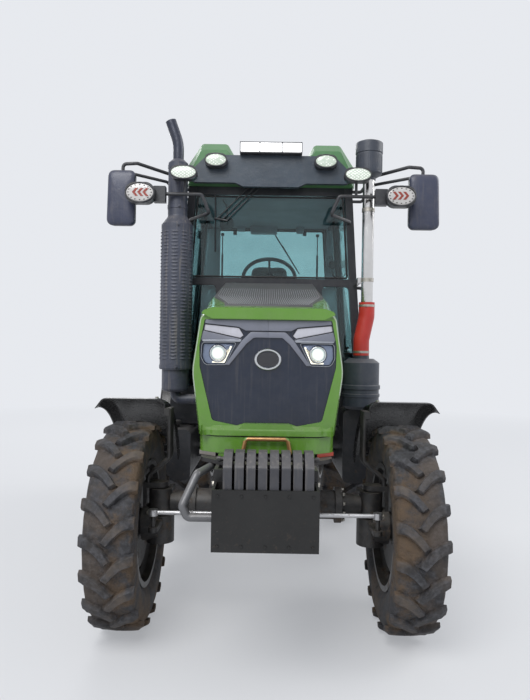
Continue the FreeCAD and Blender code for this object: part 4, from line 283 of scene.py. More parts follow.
copies_tree = bpy.data.node_groups.new("copies", "GeometryNodeTree")
for socket_name, kind in (("Geometry", "NodeSocketGeometry"), ("Count", "NodeSocketInt"), ("Step", "NodeSocketVector"),
                          ("Turn", "NodeSocketVector"), ("Centre", "NodeSocketVector"),
                          ("Material", "NodeSocketMaterial")):
    copies_tree.interface.new_socket(socket_name, in_out="INPUT", socket_type=kind)
copies_tree.interface.new_socket("Geometry", in_out="OUTPUT", socket_type="NodeSocketGeometry")
copies_in = add(copies_tree, "NodeGroupInput").outputs
copies_index = add(copies_tree, "GeometryNodeInputIndex").outputs[0]
copies_shift = add(copies_tree, "ShaderNodeVectorMath", {0: copies_in["Step"], 3: copies_index}, operation="SCALE")
copies_place = add(copies_tree, "ShaderNodeVectorMath", {0: copies_shift.outputs[0], 1: copies_in["Centre"]},
                   operation="ADD")
copies_turn = add(copies_tree, "ShaderNodeVectorMath", {0: copies_in["Turn"], 3: copies_index}, operation="SCALE")
copies_points = add(copies_tree, "GeometryNodePoints",
                    {"Count": copies_in["Count"], "Position": copies_place.outputs[0]})
copies_set = add(copies_tree, "GeometryNodeInstanceOnPoints",
                 {"Points": copies_points.outputs[0], "Instance": copies_in["Geometry"],
                  "Rotation": copies_turn.outputs[0]})
copies_real = add(copies_tree, "GeometryNodeRealizeInstances", {0: copies_set.outputs[0]})
copies_dressed = add(copies_tree, "GeometryNodeSetMaterial",
                     {"Geometry": copies_real.outputs[0], "Material": copies_in["Material"]})
add(copies_tree, "NodeGroupOutput", {0: copies_dressed.outputs[0]})
copies_sockets = {item.name: item.identifier for item in copies_tree.interface.items_tree if item.in_out == "INPUT"}


def repeated(piece, count, step=(0, 0, 0), turn=(0, 0, 0), centre=(0, 0, 0)):
    """Copies a piece along a step and round a centre, and keeps the result as its plain mesh."""
    modifier = piece.modifiers.new("copies", "NODES")
    modifier.node_group = copies_tree
    turn = [math.radians(angle) for angle in turn]
    for name, value in (("Count", count), ("Step", step), ("Turn", turn), ("Centre", centre),
                        ("Material", piece.data.materials[0])):
        modifier[copies_sockets[name]] = value
    graph = bpy.context.evaluated_depsgraph_get()
    mesh = bpy.data.meshes.new_from_object(piece.evaluated_get(graph))
    piece.modifiers.clear()
    piece.data = mesh
    return piece


def joined(name, material, *pieces):
    """One object from several, which it replaces; each keeps its own sharp edges."""
    form = bmesh.new()
    for piece in pieces:
        form.from_mesh(piece.data)
        bpy.data.objects.remove(piece)
    mesh = bpy.data.meshes.new(name)
    form.to_mesh(mesh)
    form.free()
    mesh.materials.append(material)
    return new_object(name, mesh)


def mirrored(form):
    """Adds the other side's half of a form that was built on +X."""
    twin = bmesh.ops.duplicate(form, geom=form.verts[:] + form.edges[:] + form.faces[:])["geom"]
    for part in twin:
        if isinstance(part, bmesh.types.BMVert):
            part.co.x = -part.co.x
    return form


def tyre_lug(form, row, half_width, radius, lug_width, lug_height, sweep):
    """One hooked lug of the row on a side: it drops and turns over the shoulder at its outer end."""
    stations = [-0.10, 0.0, 0.14, 0.30, 0.46, 0.62, 0.78, 0.92, 1.04, 1.13]
    rings = []
    for share in stations:
        held = min(max(share, 0.0), 1.0)
        across = row * (half_width * (-0.05 + 0.90 * share) + max(0.0, share - 0.9) * 0.03)
        turn = -sweep * (1 - (1 - held) ** 1.7 + (share - held) * 0.3) + (0.5 if row < 0 else 0) * lug_pitch
        top = radius - 1.0e-3 - 0.005 * held ** 2 - max(0.0, share - 0.92) * 0.075
        wide = lug_width * (0.62 + 0.30 * held) * (0.90 if share < 0 or share > 1.1 else 1.0)
        base = radius - lug_height - 0.012
        if share < 0:
            top -= 0.016
        slant = sweep * radius * 1.7 * (1 - held) ** 0.7 / (half_width * 0.90)
        lean = math.atan(slant)
        ring = []
        for side, depth in ((-1.32, 1.0), (-1.12, 0.45), (-1.0, 0.10), (-0.84, 0.0), (0.84, 0.0), (1.0, 0.10),
                            (1.12, 0.45), (1.32, 1.0)):
            reach = top + (base - top) * depth
            offset = side * wide / 2
            spin = turn + offset * math.cos(lean) / reach
            ring.append((across + row * offset * math.sin(lean), -reach * math.sin(spin), reach * math.cos(spin)))
        rings.append(ring)
    skin(form, rings)


sides = ((1, "left"), (-1, "right"))
wheelbase = 2.2
axles = {"front": (front_axle_y, 0.525, 0.7075), "rear": (front_axle_y + wheelbase, 0.6825, 0.640)}
for end, width, rim_radius, rim_half, lug_height, lug_width, lug_count in (
        ("front", 0.241, 0.304, 0.092, 0.030, 0.050, 19), ("rear", 0.378, 0.355, 0.160, 0.036, 0.062, 20)):
    axle_y, radius, wheel_x = axles[end]
    half_width = width / 2
    tread_base = radius - lug_height
    lug_pitch = 2 * math.pi / lug_count
    rubber = tyre_rubber(f"{end}_tyre_rubber", axle_y, radius, tread_base, wheel_x, half_width)
    lug_form = bmesh.new()
    for row in (1, -1):
        tyre_lug(lug_form, row, half_width, radius, lug_width, lug_height, math.radians(10))
    lugs = finished("lugs", lug_form, rubber, 32)
    repeated(lugs, lug_count, turn=(360 / lug_count, 0, 0))
    bead = rim_half - 0.0003
    flange = rim_radius + 0.020
    wall = (tread_base + rim_radius) / 2 + 0.006
    right = [
        (bead, rim_radius), (bead, flange), (bead + 0.004, flange + 0.010),
        (half_width * 0.93, flange + (wall - flange) * 0.42), (half_width * 0.98, wall - 0.02),
        (half_width * 0.985, wall + 0.012), (half_width * 0.965, wall + (tread_base - wall) * 0.45),
        (half_width * 0.935, tread_base - 0.022), (half_width * 0.87, tread_base - 0.008),
        (half_width * 0.68, tread_base - 0.003), (half_width * 0.40, tread_base - 0.001),
        (half_width * 0.14, tread_base),
    ]
    profile = right + [(-place, reach) for place, reach in reversed(right)]
    carcass_form = bmesh.new()
    lathe(carcass_form, profile, (0, 0, 0), "x", 180, closed=True)
    for vert in carcass_form.verts:
        reach = math.hypot(vert.co.y, vert.co.z)
        if reach > wall:
            caked = relief.fractal(vert.co * 9.0 + Vector((3.1, 0, 0)), 0.7, 2.0, 4)
            lift = 1 + max(-0.002, min(0.010, 0.007 * caked)) / reach
            vert.co.y *= lift
            vert.co.z *= lift
    carcass = finished("carcass", carcass_form, rubber, 60)
    whole = joined("tyre", rubber, carcass, lugs)
    for side, side_name in sides:
        mesh = whole.data.copy()
        mesh.transform(Matrix.Translation((side * wheel_x, axle_y, radius)) @ Matrix.Scale(side, 4, (1, 0, 0)))
        if side < 0:
            mesh.flip_normals()
        tyre = new_object(f"{end}_{side_name}_tyre", mesh)
        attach(tyre, f"wheel_{end}_{side_name}")
        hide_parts(f"tyre_{end}_{side_name}")
    bpy.data.objects.remove(whole)


# Rims: pressed steel discs in black paint, chipped and splashed with soil, each held to its hub by
# eight plated nuts on studs.
def weathered(name, colour, roughness, metallic=0.0, dusty=0.3, soil=0.0, soil_top=1.0, grain=900.0,
              grain_depth=0.0006, coat=0.0, chips=0.0, variation=0.12, streaks=0.0):
    """A finish with uneven colour, dust that lies on what faces up, and soil splashed from below."""
    made, tree, shader = new_material(name, colour, roughness, metallic)
    place = object_place(tree)
    height = add(tree, "ShaderNodeSeparateXYZ", {0: place}).outputs["Z"]
    facing = add(tree, "ShaderNodeSeparateXYZ",
                 {0: add(tree, "ShaderNodeNewGeometry").outputs["Normal"]}).outputs["Z"]
    uneven = spread(tree, noise(tree, place, 4.0), 0.3, 0.7)
    darker = tuple(channel * (1 - variation) for channel in colour)
    lighter = tuple(min(1, channel * (1 + variation) + 0.003) for channel in colour)
    tone = mix(tree, uneven, darker, lighter)
    if chips:
        worn = spread(tree, noise(tree, place, 55.0, 8.0, 0.7), 0.72 - 0.12 * chips, 0.76)
        tone = mix(tree, worn, tone, (0.20, 0.19, 0.18))
    up = spread(tree, facing, 0.1, 1.0)
    fine = spread(tree, noise(tree, place, 22.0, 8.0, 0.65), 0.35, 0.75)
    lying = times(tree, times(tree, up, spread(tree, fine, 0.0, 1.0, 0.6, 1.0)), dusty)
    film = times(tree, fine, dusty * 0.35)
    dulled = times(tree, lying, film, "ADD")
    if streaks:
        tall = add(tree, "ShaderNodeMapping", {"Vector": place, "Scale": (30.0, 30.0, 1.6)}).outputs[0]
        runs = spread(tree, noise(tree, tall, 2.0, 3.0), 0.52, 0.72)
        dulled = times(tree, dulled, times(tree, runs, streaks), "ADD")
    tone = mix(tree, dulled, tone, dust)
    rough = spread(tree, dulled, 0.0, 1.0, roughness, min(1.0, roughness + 0.5))
    depth = times(tree, fine, 0.25)
    if soil:
        reach = spread(tree, height, soil_top, soil_top * 0.35)
        splash = spread(tree, noise(tree, place, 9.0, 9.0, 0.68), 0.64 - 0.16 * soil, 0.68)
        spots = spread(tree, noise(tree, place, 60.0, 3.0, 0.6), 0.62, 0.67)
        muddy = times(tree, reach, times(tree, splash, times(tree, spots, 0.5), "ADD"))
        earth = mix(tree, noise(tree, place, 30.0, 6.0), wet_soil, (0.115, 0.078, 0.050))
        tone = mix(tree, muddy, tone, earth)
        rough = times(tree, rough, times(tree, muddy, 0.35), "ADD")
        depth = times(tree, depth, muddy, "ADD")
        if metallic:
            tree.links.new(times(tree, metallic, muddy, "SUBTRACT"), shader.inputs["Metallic"])
    tree.links.new(tone, shader.inputs["Base Color"])
    tree.links.new(rough, shader.inputs["Roughness"])
    grains = raised(tree, noise(tree, place, grain, 2.0), grain_depth, 0.35)
    tree.links.new(raised(tree, depth, 0.004, 0.6, grains), shader.inputs["Normal"])
    shader.inputs["Coat Weight"].default_value = coat
    shader.inputs["Coat Roughness"].default_value = 0.08
    return made


def dress(material, *names):
    """Gives solids of the frame their finish."""
    for name in names:
        mesh = nodes[name].data
        mesh.materials.clear()
        mesh.materials.append(material)


def ridden(piece, body):
    """Fixes a piece to a body."""
    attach(piece, body)
    return piece


def fitted(name, form, material, body="chassis", crease=38):
    """Turns a form into a piece that rides a body."""
    return ridden(finished(name, form, material, crease), body)


rim_paint = weathered("rim_paint", (0.014, 0.014, 0.015), 0.36, dusty=0.22, soil=0.6, soil_top=1.3, chips=0.3)
dress(rim_paint, "rim_front_left", "rim_front_right", "rim_rear_left", "rim_rear_right")
plated = weathered("plated_steel", (0.42, 0.40, 0.36), 0.38, metallic=0.85, dusty=0.25, soil=0.5, soil_top=1.3,
                   grain=300.0)


def hexagon_bolt(form, place, radius, height, way=(0, -1, 0)):
    """A bolt's head with its washer, standing on a face."""
    facing = Vector(way).to_track_quat("Z", "Y").to_matrix().to_4x4()
    stand = Matrix.Translation(place) @ facing
    head = [(0.0, radius * 1.28), (0.14, radius * 1.28), (0.14, radius), (0.86, radius), (1.0, radius * 0.86)]
    rings = []
    for share, reach in head:
        sides = 18 if reach > radius else 6
        rings.append([stand @ Vector((math.cos(2 * math.pi * step / sides) * reach,
                                      math.sin(2 * math.pi * step / sides) * reach, share * height))
                      for step in range(sides)])
    skin(form, rings[:2])
    skin(form, rings[2:])


nut_count = 8
for end, disc_x, nut_circle in (("front", -0.052, 0.076), ("rear", -0.130, 0.101)):
    axle_y, radius, wheel_x = axles[end]
    for side, side_name in sides:
        face_x = side * (wheel_x + disc_x + 0.008)
        nut_form = bmesh.new()
        hexagon_bolt(nut_form, (0, 0, nut_circle), 0.0125, 0.018, (side, 0, 0))
        lathe(nut_form, [(0, 0), (0, 0.0065), (side * 0.026, 0.0065), (side * 0.028, 0.0050), (side * 0.028, 0)],
              (0, 0, nut_circle), "x", 10)
        nuts = finished(f"{end}_{side_name}_wheel_nuts", nut_form, plated)
        repeated(nuts, nut_count, turn=(360 / nut_count, 0, 0), centre=(face_x, axle_y, radius))
        ridden(nuts, f"wheel_{end}_{side_name}")

# Axle, knuckles, engine and transmission: black painted castings, rough where they were cast, with
# soil in their corners. The covers are held by rings of plated bolts.
cast_black = weathered("cast_black", (0.016, 0.016, 0.017), 0.46, dusty=0.28, soil=0.6, soil_top=1.2,
                       grain=420.0, grain_depth=0.0012, chips=0.35)
dress(cast_black, "front_axle_housing", "knuckle_left", "knuckle_right", "engine_block", "transmission", "lift_arms")
for side, side_name in sides:
    bolt_form = bmesh.new()
    hexagon_bolt(bolt_form, (0, 0, 0.080), 0.0085, 0.011, (side, 0, 0))
    cover_bolts = finished(f"axle_cover_bolts_{side_name}", bolt_form, plated)
    repeated(cover_bolts, 10, turn=(36, 0, 0), centre=(side * 0.398, front_axle_y, 0.630))
    ridden(cover_bolts, "chassis")

# Fenders: sheets moulded in black plastic, glossy outside, that arch over the front and the rear wheels.
# Splashes of soil have dried on them from below.
fender_black = weathered("fender_black", (0.010, 0.010, 0.011), 0.26, dusty=0.10, soil=0.35, soil_top=1.25,
                         grain=1400.0, grain_depth=0.0003)
dress(fender_black, "front_fender_left", "front_fender_right", "rear_fender_left", "rear_fender_right")

# Steering: a bright steel rod that runs through the steering cylinder, with eyes over the arms' pins. The
# hitch's lift rods and top link are of the same worn bare steel.
worn_steel = weathered("worn_steel", (0.50, 0.50, 0.51), 0.36, metallic=0.9, dusty=0.2, soil=0.35, soil_top=1.2)
dress(worn_steel, "steering_rod", "lift_rods", "top_link")

# Front frame, weight box and weights: welded black plate, a hooked box with bolts at its edges, and
# eight cast grey weights side by side. A bent grey tube runs beside them.
frame_black = weathered("frame_black", (0.016, 0.016, 0.017), 0.40, dusty=0.22, soil=0.4, soil_top=1.1, chips=0.3)
dress(frame_black, "front_frame", "steering_cylinder", "drawbar", "lower_links", "cab_steps")
box_black = weathered("box_black", (0.004, 0.004, 0.004), 0.50, dusty=0.03, soil=0.22, soil_top=0.9, grain=260.0,
                      grain_depth=0.001, chips=0.4)
dress(box_black, "weight_box")
weight_grey = weathered("weight_grey", (0.044, 0.045, 0.053), 0.42, dusty=0.18, soil=0.25, soil_top=1.2,
                        grain=300.0, grain_depth=0.0014, chips=0.5, streaks=0.3)
dress(weight_grey, "suitcase_weights")
pin_form = bmesh.new()
lathe(pin_form, [(-0.205, 0.0), (-0.205, 0.011), (-0.196, 0.013), (-0.188, 0.013), (-0.188, 0.009), (0.206, 0.009),
                 (0.206, 0.013), (0.214, 0.013), (0.220, 0.010), (0.220, 0.0)], (0, -1.838, 0.985), "x", 20)
fitted("weight_pin", pin_form, frame_black, crease=50)
box_bolt_form = bmesh.new()
hexagon_bolt(box_bolt_form, (0, -1.9421, 0), 0.0055, 0.006)
box_bolts = finished("weight_box_bolts", box_bolt_form, box_black)
repeated(box_bolts, 5, step=(0.095, 0, 0), centre=(-0.190, 0, 0))
repeated(box_bolts, 2, step=(0, 0, 0.2), centre=(0, 0, 0.656))
ridden(box_bolts, "chassis")
tube_grey = weathered("tube_grey", (0.145, 0.147, 0.155), 0.36, metallic=0.3, dusty=0.25, soil=0.3, soil_top=1.0)
dress(tube_grey, "guard_tube")

# Hood and lower nose: pressed steel panels in bright green paint under a clear gloss, which is dusty on
# top and splashed a little from below.
green = (0.100, 0.250, 0.020)
hood_green = weathered("hood_green", green, 0.24, dusty=0.24, soil=0.12, soil_top=1.15, coat=0.6, variation=0.06)
dress(hood_green, "hood_shell", "lower_nose")

# Hood vent: a moulded grey plastic panel let into the hood's top, with a raised lip at its front and fine
# ribs that fan out from there towards the windshield. The ribs' light grey is a painted sky highlight.
vent_grey = weathered("vent_grey", (0.040, 0.043, 0.048), 0.5, dusty=0.16, grain=260.0, grain_depth=0.002)
dress(vent_grey, "hood_vent")
# The ribs' light grey is a painted highlight, far lighter than the panel they belong to.
rib_highlight_grey = weathered("rib_highlight_grey", (0.36, 0.37, 0.385), 0.32, dusty=0.2)


def hood_crown(y):
    """The height of the hood's top at a place along the tractor."""
    line = [(-1.560, 1.627), (-1.536, 1.633), (-1.410, 1.658), (front_axle_y, 1.704), (-0.390, 1.857)]
    for (start, low), (stop, high) in zip(line, line[1:]):
        if y <= stop:
            return low + (high - low) * (y - start) / (stop - start)
    return line[-1][1]


vent_lip_form = bmesh.new()
rings = []
for y, half, up in ((-1.5010, 0.205, 0.0004), (-1.4980, 0.206, 0.0070), (-1.4940, 0.206, 0.0093),
                    (-1.4100, 0.2135, 0.0093), (-1.3952, 0.215, 0.0093)):
    low, high = hood_crown(y) + 0.0002, hood_crown(y) + up
    shoulder = max(low + 0.0001, high - 0.002)
    rings.append([(-half, y, low), (half, y, low), (half, y, shoulder), (half - 0.002, y, high),
                  (-half + 0.002, y, high), (-half, y, shoulder)])
skin(vent_lip_form, rings)
fitted("hood_vent_lip", vent_lip_form, vent_grey, "hood")
rib_form = bmesh.new()
rib_count = 46
for index in range(rib_count):
    share = (index + 0.5) / rib_count * 2 - 1
    rings = []
    for step in range(9):
        along = step / 8
        y = -1.491 + 0.72 * along
        x = share * (0.190 + 0.076 * min(1.0, along * 2.1)) + share * 0.012 * along
        z = hood_crown(y) + 0.0088
        tall = 0.0032 * (1 - along * 0.55)
        rings.append([(x - 0.0013, y, z - 0.001), (x + 0.0013, y, z - 0.001), (x + 0.0007, y, z + tall),
                      (x - 0.0007, y, z + tall)])
    skin(rib_form, rings)
fitted("hood_vent_ribs", rib_form, rib_highlight_grey, "hood")


# Nose mask: a dark blue-black glossy moulding, fogged with dust, with a raised arch in satin grey, a
# grey bezel band under the brow, silver outlines round the lamps and a blank oval with a chrome ring.
def bend_points(start, corner, stop, steps):
    """Points along a smooth bend that leans towards a corner."""
    shares = [step / steps for step in range(steps + 1)]
    return [start * (1 - share) ** 2 + corner * 2 * share * (1 - share) + stop * share ** 2 for share in shares]


def rounded(corners, steps=6):
    """An outline's points, from corners given as x, z and the radius that rounds them."""
    points = []
    for index, (x, z, *rest) in enumerate(corners):
        here = Vector((x, z))
        radius = rest[0] if rest else 0
        if not radius:
            points.append(here)
            continue
        before = Vector(corners[index - 1][:2]) - here
        after = Vector(corners[(index + 1) % len(corners)][:2]) - here
        half_turn = before.angle(after) / 2
        reach = min(radius / math.tan(half_turn), before.length * 0.499, after.length * 0.499)
        start = here + before.normalized() * reach
        stop = here + after.normalized() * reach
        points += bend_points(start, here, stop, steps)
    return points


def oblong(low, high, bottom, top, radius, top_radius=None):
    """A rounded rectangle's outline; its upper corners may have a radius of their own."""
    upper = radius if top_radius is None else top_radius
    return rounded([(low, bottom, radius), (high, bottom, radius), (high, top, upper), (low, top, upper)])


def inset(points, distance):
    """An outline moved inwards by a distance."""
    area = sum(a.x * b.y - b.x * a.y for a, b in zip(points, points[1:] + points[:1]))
    sign = 1 if area > 0 else -1
    moved = []
    for index, here in enumerate(points):
        before = (here - points[index - 1]).normalized()
        after = (points[(index + 1) % len(points)] - here).normalized()
        inward = Vector((-before.y - after.y, before.x + after.x)) * sign
        if inward.length < 1e-9:
            inward = Vector((-before.y, before.x)) * sign
        inward.normalize()
        lean = max(0.35, abs(inward.dot(Vector((-before.y, before.x)))))
        moved.append(here + inward * distance / lean)
    return moved


def upright(points, y):
    """An outline of x and z, stood up at a place along the tractor."""
    return [(point.x, y, point.y) for point in points]


def plate(form, points, front, back, bevel=0.0015):
    """A plate seen from the front, with a rounded front edge."""
    skin(form, [upright(inset(points, bevel), front), upright(inset(points, bevel * 0.3), front + bevel * 0.3),
                upright(points, front + bevel), upright(points, back)])


def trim_ring(form, points, half_width, front, back):
    """A band along an outline, half of it inside and half outside, with a crowned front."""
    outer, inner = inset(points, -half_width), inset(points, half_width)
    crest_out, crest_in = inset(points, -half_width * 0.5), inset(points, half_width * 0.5)
    rows = [upright(outer, back), upright(outer, front + half_width * 0.5), upright(crest_out, front),
            upright(crest_in, front), upright(inner, front + half_width * 0.5), upright(inner, back)]
    skin(form, rows, closed=True)


mask_y = -1.550
mask_blue = weathered("mask_blue", (0.008, 0.014, 0.031), 0.18, dusty=0.09, coat=0.1, streaks=0.08, grain=700.0)
dress(mask_blue, "nose_mask")
bezel_grey = weathered("bezel_grey", (0.165, 0.175, 0.215), 0.34, dusty=0.15, coat=0.2)
bright_silver = weathered("bright_silver", (0.34, 0.36, 0.40), 0.28, metallic=0.7, dusty=0.12)
chrome = weathered("chrome", (0.66, 0.67, 0.69), 0.12, metallic=1.0, dusty=0.08, grain=200.0, variation=0.03)

band_form = bmesh.new()
band = [(0.291, 1.5555, 0.004), (0.288, 1.573, 0.004), (0.0, 1.573), (0.0, 1.524), (0.104, 1.524, 0.006),
        (0.136, 1.5405, 0.008)]
plate(band_form, rounded(band[::-1]), mask_y - 0.009, mask_y + 0.004, 0.002)
lower_band = [(0.119, 1.4865, 0.003), (0.128, 1.4855, 0.004), (0.299, 1.5215, 0.004), (0.309, 1.484, 0.01),
              (0.302, 1.4735, 0.006), (0.150, 1.4745, 0.004), (0.131, 1.476, 0.004)]
plate(band_form, rounded(lower_band), mask_y - 0.005, mask_y + 0.004, 0.002)
mirrored(band_form)
fitted("nose_bezel_band", band_form, bezel_grey, "hood")

silver_form = bmesh.new()
pocket = rounded([(0.196, 1.366, 0.012), (0.290, 1.364, 0.030), (0.308, 1.400, 0.030), (0.304, 1.467, 0.016),
                  (0.146, 1.469, 0.008)])
trim_ring(silver_form, pocket, 0.0014, mask_y - 0.003, mask_y + 0.003)
plate(silver_form, rounded([(0.128, 1.472, 0.002), (0.298, 1.471, 0.004), (0.306, 1.479, 0.003),
                            (0.120, 1.4815, 0.002)]), mask_y - 0.0065, mask_y, 0.0015)
mirrored(silver_form)
fitted("headlamp_outlines", silver_form, bright_silver, "hood")

arch_form = bmesh.new()
arch_right = [(0.0, 1.5185), (0.080, 1.5185, 0.02), (0.120, 1.4785, 0.02), (0.196, 1.3655), (0.177, 1.3655),
              (0.101, 1.4615, 0.02), (0.066, 1.4925, 0.024), (0.0, 1.4925)]
plate(arch_form, rounded(arch_right), mask_y - 0.0085, mask_y, 0.002)
mirrored(arch_form)
fitted("nose_arch", arch_form, bezel_grey, "hood")


def ellipse(x, z, half_wide, half_tall, steps=56):
    """An upright ellipse's points."""
    return [Vector((x + half_wide * math.cos(2 * math.pi * step / steps),
                    z + half_tall * math.sin(2 * math.pi * step / steps))) for step in range(steps)]


ring_form = bmesh.new()
oval = ellipse(0.0, 1.393, 0.0565, 0.0440)
trim_ring(ring_form, oval, 0.0052, mask_y - 0.0095, mask_y - 0.001)
fitted("badge_ring", ring_form, chrome, "hood")
badge_form = bmesh.new()
badge_face = inset(oval, 0.005)
skin(badge_form, [upright(inset(badge_face, 0.02), mask_y - 0.0042), upright(inset(badge_face, 0.010), mask_y - 0.0038),
                  upright(badge_face, mask_y - 0.0015), upright(badge_face, mask_y + 0.001)])
badge_black = weathered("badge_black", (0.012, 0.013, 0.018), 0.14, dusty=0.10, coat=0.6)
fitted("blank_badge", badge_form, badge_black, "hood")


# Headlamps: a glass lens in a bright ring over a lit bulb, an L of lit white plastic beside it, and a
# frosted lens strip above; each unit lies in its pocket of the mask.
def lit(name, colour, strength, roughness=0.12):
    """Clear plastic over a light; it glows by its own colour."""
    made, tree, shader = new_material(name, colour, roughness)
    shader.inputs["Emission Color"].default_value = (*colour, 1)
    shader.inputs["Emission Strength"].default_value = strength
    place = object_place(tree)
    tree.links.new(raised(tree, noise(tree, place, 220.0, 2.0), 0.0006, 0.5), shader.inputs["Normal"])
    shader.inputs["Coat Weight"].default_value = 0.5
    return made


bulb_light = lit("bulb_light", (1.0, 0.97, 0.84), 1.3)
bulb_tree = bulb_light.node_tree
bulb_shader = bulb_tree.nodes["Principled BSDF"]
bulb_place = add(bulb_tree, "ShaderNodeVectorMath", {0: object_place(bulb_tree)},
                 operation="ABSOLUTE").outputs[0]
bulb_centred = add(bulb_tree, "ShaderNodeMapping", {"Vector": bulb_place, "Location": (-0.231, 0, -1.418),
                                                    "Scale": (1, 0, 1)}).outputs[0]
bulb_reach = add(bulb_tree, "ShaderNodeVectorMath", {0: bulb_centred}, operation="LENGTH").outputs["Value"]
bulb_tree.links.new(mix(bulb_tree, spread(bulb_tree, bulb_reach, 0.012, 0.031), (1.0, 1.0, 0.90), (0.34, 0.40, 0.38)),
                    bulb_shader.inputs["Emission Color"])
bulb_shader.inputs["Base Color"].default_value = (0.25, 0.27, 0.27, 1)
guide_light = lit("guide_light", (1.0, 0.96, 0.80), 0.8)
strip_plastic = weathered("strip_plastic", (0.50, 0.50, 0.55), 0.14, dusty=0.14, coat=0.6, grain=120.0,
                          grain_depth=0.001, streaks=0.15)
lamp_x, lamp_z = 0.231, 1.418
pocket_y = mask_y + 0.018
reflector = weathered("lamp_reflector", (0.20, 0.24, 0.33), 0.18, metallic=0.5, dusty=0.1)
housing_form = bmesh.new()
plate(housing_form, inset(pocket, 0.004), pocket_y - 0.0060, pocket_y - 0.0002, 0.003)
mirrored(housing_form)
fitted("headlamp_housings", housing_form, reflector, "hood")
bulb_form = bmesh.new()
lathe(bulb_form, [(0.006, 0.0), (0.006, 0.0325), (-0.004, 0.0325), (-0.010, 0.029), (-0.0150, 0.021),
                  (-0.0178, 0.010), (-0.0185, 0.0)], (lamp_x, pocket_y, lamp_z), "y", 40)
mirrored(bulb_form)
bulbs = fitted("headlamp_lenses", bulb_form, bulb_light, "hood", crease=60)
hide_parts("headlamps")
lamp_ring_form = bmesh.new()
lathe(lamp_ring_form, [(0.004, 0.033), (-0.011, 0.033), (-0.0135, 0.0365), (-0.0110, 0.041), (0.004, 0.043)],
      (lamp_x, pocket_y, lamp_z), "y", 40, closed=True)
mirrored(lamp_ring_form)
fitted("headlamp_rings", lamp_ring_form, chrome, "hood", crease=60)
guide_form = bmesh.new()
guide = [(0.200, 1.374, 0.004), (0.258, 1.374, 0.003), (0.258, 1.3805, 0.002), (0.2055, 1.3805, 0.003),
         (0.1745, 1.452, 0.003), (0.1655, 1.452, 0.003)]
plate(guide_form, rounded(guide), pocket_y - 0.0085, pocket_y - 0.002, 0.002)
mirrored(guide_form)
fitted("headlamp_guides", guide_form, guide_light, "hood")
strip_form = bmesh.new()
strip = rounded([(0.1125, 1.5018, 0.005), (0.1282, 1.4893, 0.008), (0.2965, 1.5243, 0.005), (0.2915, 1.5517, 0.005),
                 (0.1342, 1.5367, 0.008)])
plate(strip_form, strip, mask_y - 0.0015, mask_y + 0.005, 0.0025)
mirrored(strip_form)
fitted("lens_strips", strip_form, strip_plastic, "hood")
strip_edge_form = bmesh.new()
trim_ring(strip_edge_form, strip, 0.0012, mask_y - 0.0035, mask_y + 0.002)
mirrored(strip_edge_form)
fitted("lens_strip_seals", strip_edge_form, badge_black, "hood")

# Lower lip and hood latch: a painted red lip plate on the left, a pale one on the right whose colour is a
# painted glare on the same red paint, and a handle of brass-toned tube over the bumper's middle.
lip_outline = [(0.232, -1.5805), (0.3120, -1.5200), (0.3120, -1.43), (0.296, -1.43), (0.296, -1.516), (0.232, -1.562)]
red_paint = weathered("red_paint", (0.36, 0.035, 0.012), 0.32, dusty=0.2, soil=0.2, soil_top=1.2, coat=0.3, chips=0.4)
# The right lip's pale colour is a painted glare; the plate is red paint like the left one.
glare_pale_paint = weathered("glare_pale_paint", (0.20, 0.185, 0.165), 0.5, dusty=0.4, soil=0.3, soil_top=1.2, chips=0.4)
for (side, side_name), paint, slot in zip(sides, (red_paint, glare_pale_paint), ("green_paint", "grey_paint")):
    lip_form = bmesh.new()
    skin(lip_form, [[(side * x, y, z) for x, y in lip_outline] for z in (0.9495, 0.9655)])
    fitted(f"lower_lip_{side_name}", lip_form, paint)


def path_rounded(points, bend, steps=6):
    """A path whose corners are rounded by smooth bends."""
    points = [Vector(point) for point in points]
    made = [points[0]]
    for before, here, after in zip(points, points[1:], points[2:]):
        reach = min(bend, (before - here).length * 0.49, (after - here).length * 0.49)
        start = here + (before - here).normalized() * reach
        stop = here + (after - here).normalized() * reach
        made += bend_points(start, here, stop, steps)
    made.append(points[-1])
    return made


def bent_tube(form, points, radius, bend=0.03, sides=14, flat=1.0):
    """A tube along a path with rounded bends."""
    path = path_rounded(points, bend) if bend else [Vector(point) for point in points]
    ways = [(b - a).normalized() for a, b in zip(path, path[1:])]
    ways = [ways[0]] + [(a + b).normalized() for a, b in zip(ways, ways[1:])] + [ways[-1]]
    across = ways[0].orthogonal().normalized()
    rings = []
    for place, way in zip(path, ways):
        across = (across - way * across.dot(way)).normalized()
        upward = way.cross(across)
        rings.append([place + (across * math.cos(turn) + upward * math.sin(turn) * flat) * radius
                      for turn in (2 * math.pi * step / sides for step in range(sides))])
    skin(form, rings)


handle_brass = weathered("handle_brass", (0.38, 0.20, 0.075), 0.3, metallic=0.6, dusty=0.2)
handle_form = bmesh.new()
handle_foot, handle_y = -1.578, -1.602
bent_tube(handle_form, [(-0.107, handle_foot, 0.970), (-0.107, handle_y, 0.970), (-0.095, handle_y, 1.033),
                        (0.095, handle_y, 1.033), (0.107, handle_y, 0.970), (0.107, handle_foot, 0.970)], 0.0095, 0.014)
fitted("hood_handle", handle_form, handle_brass)

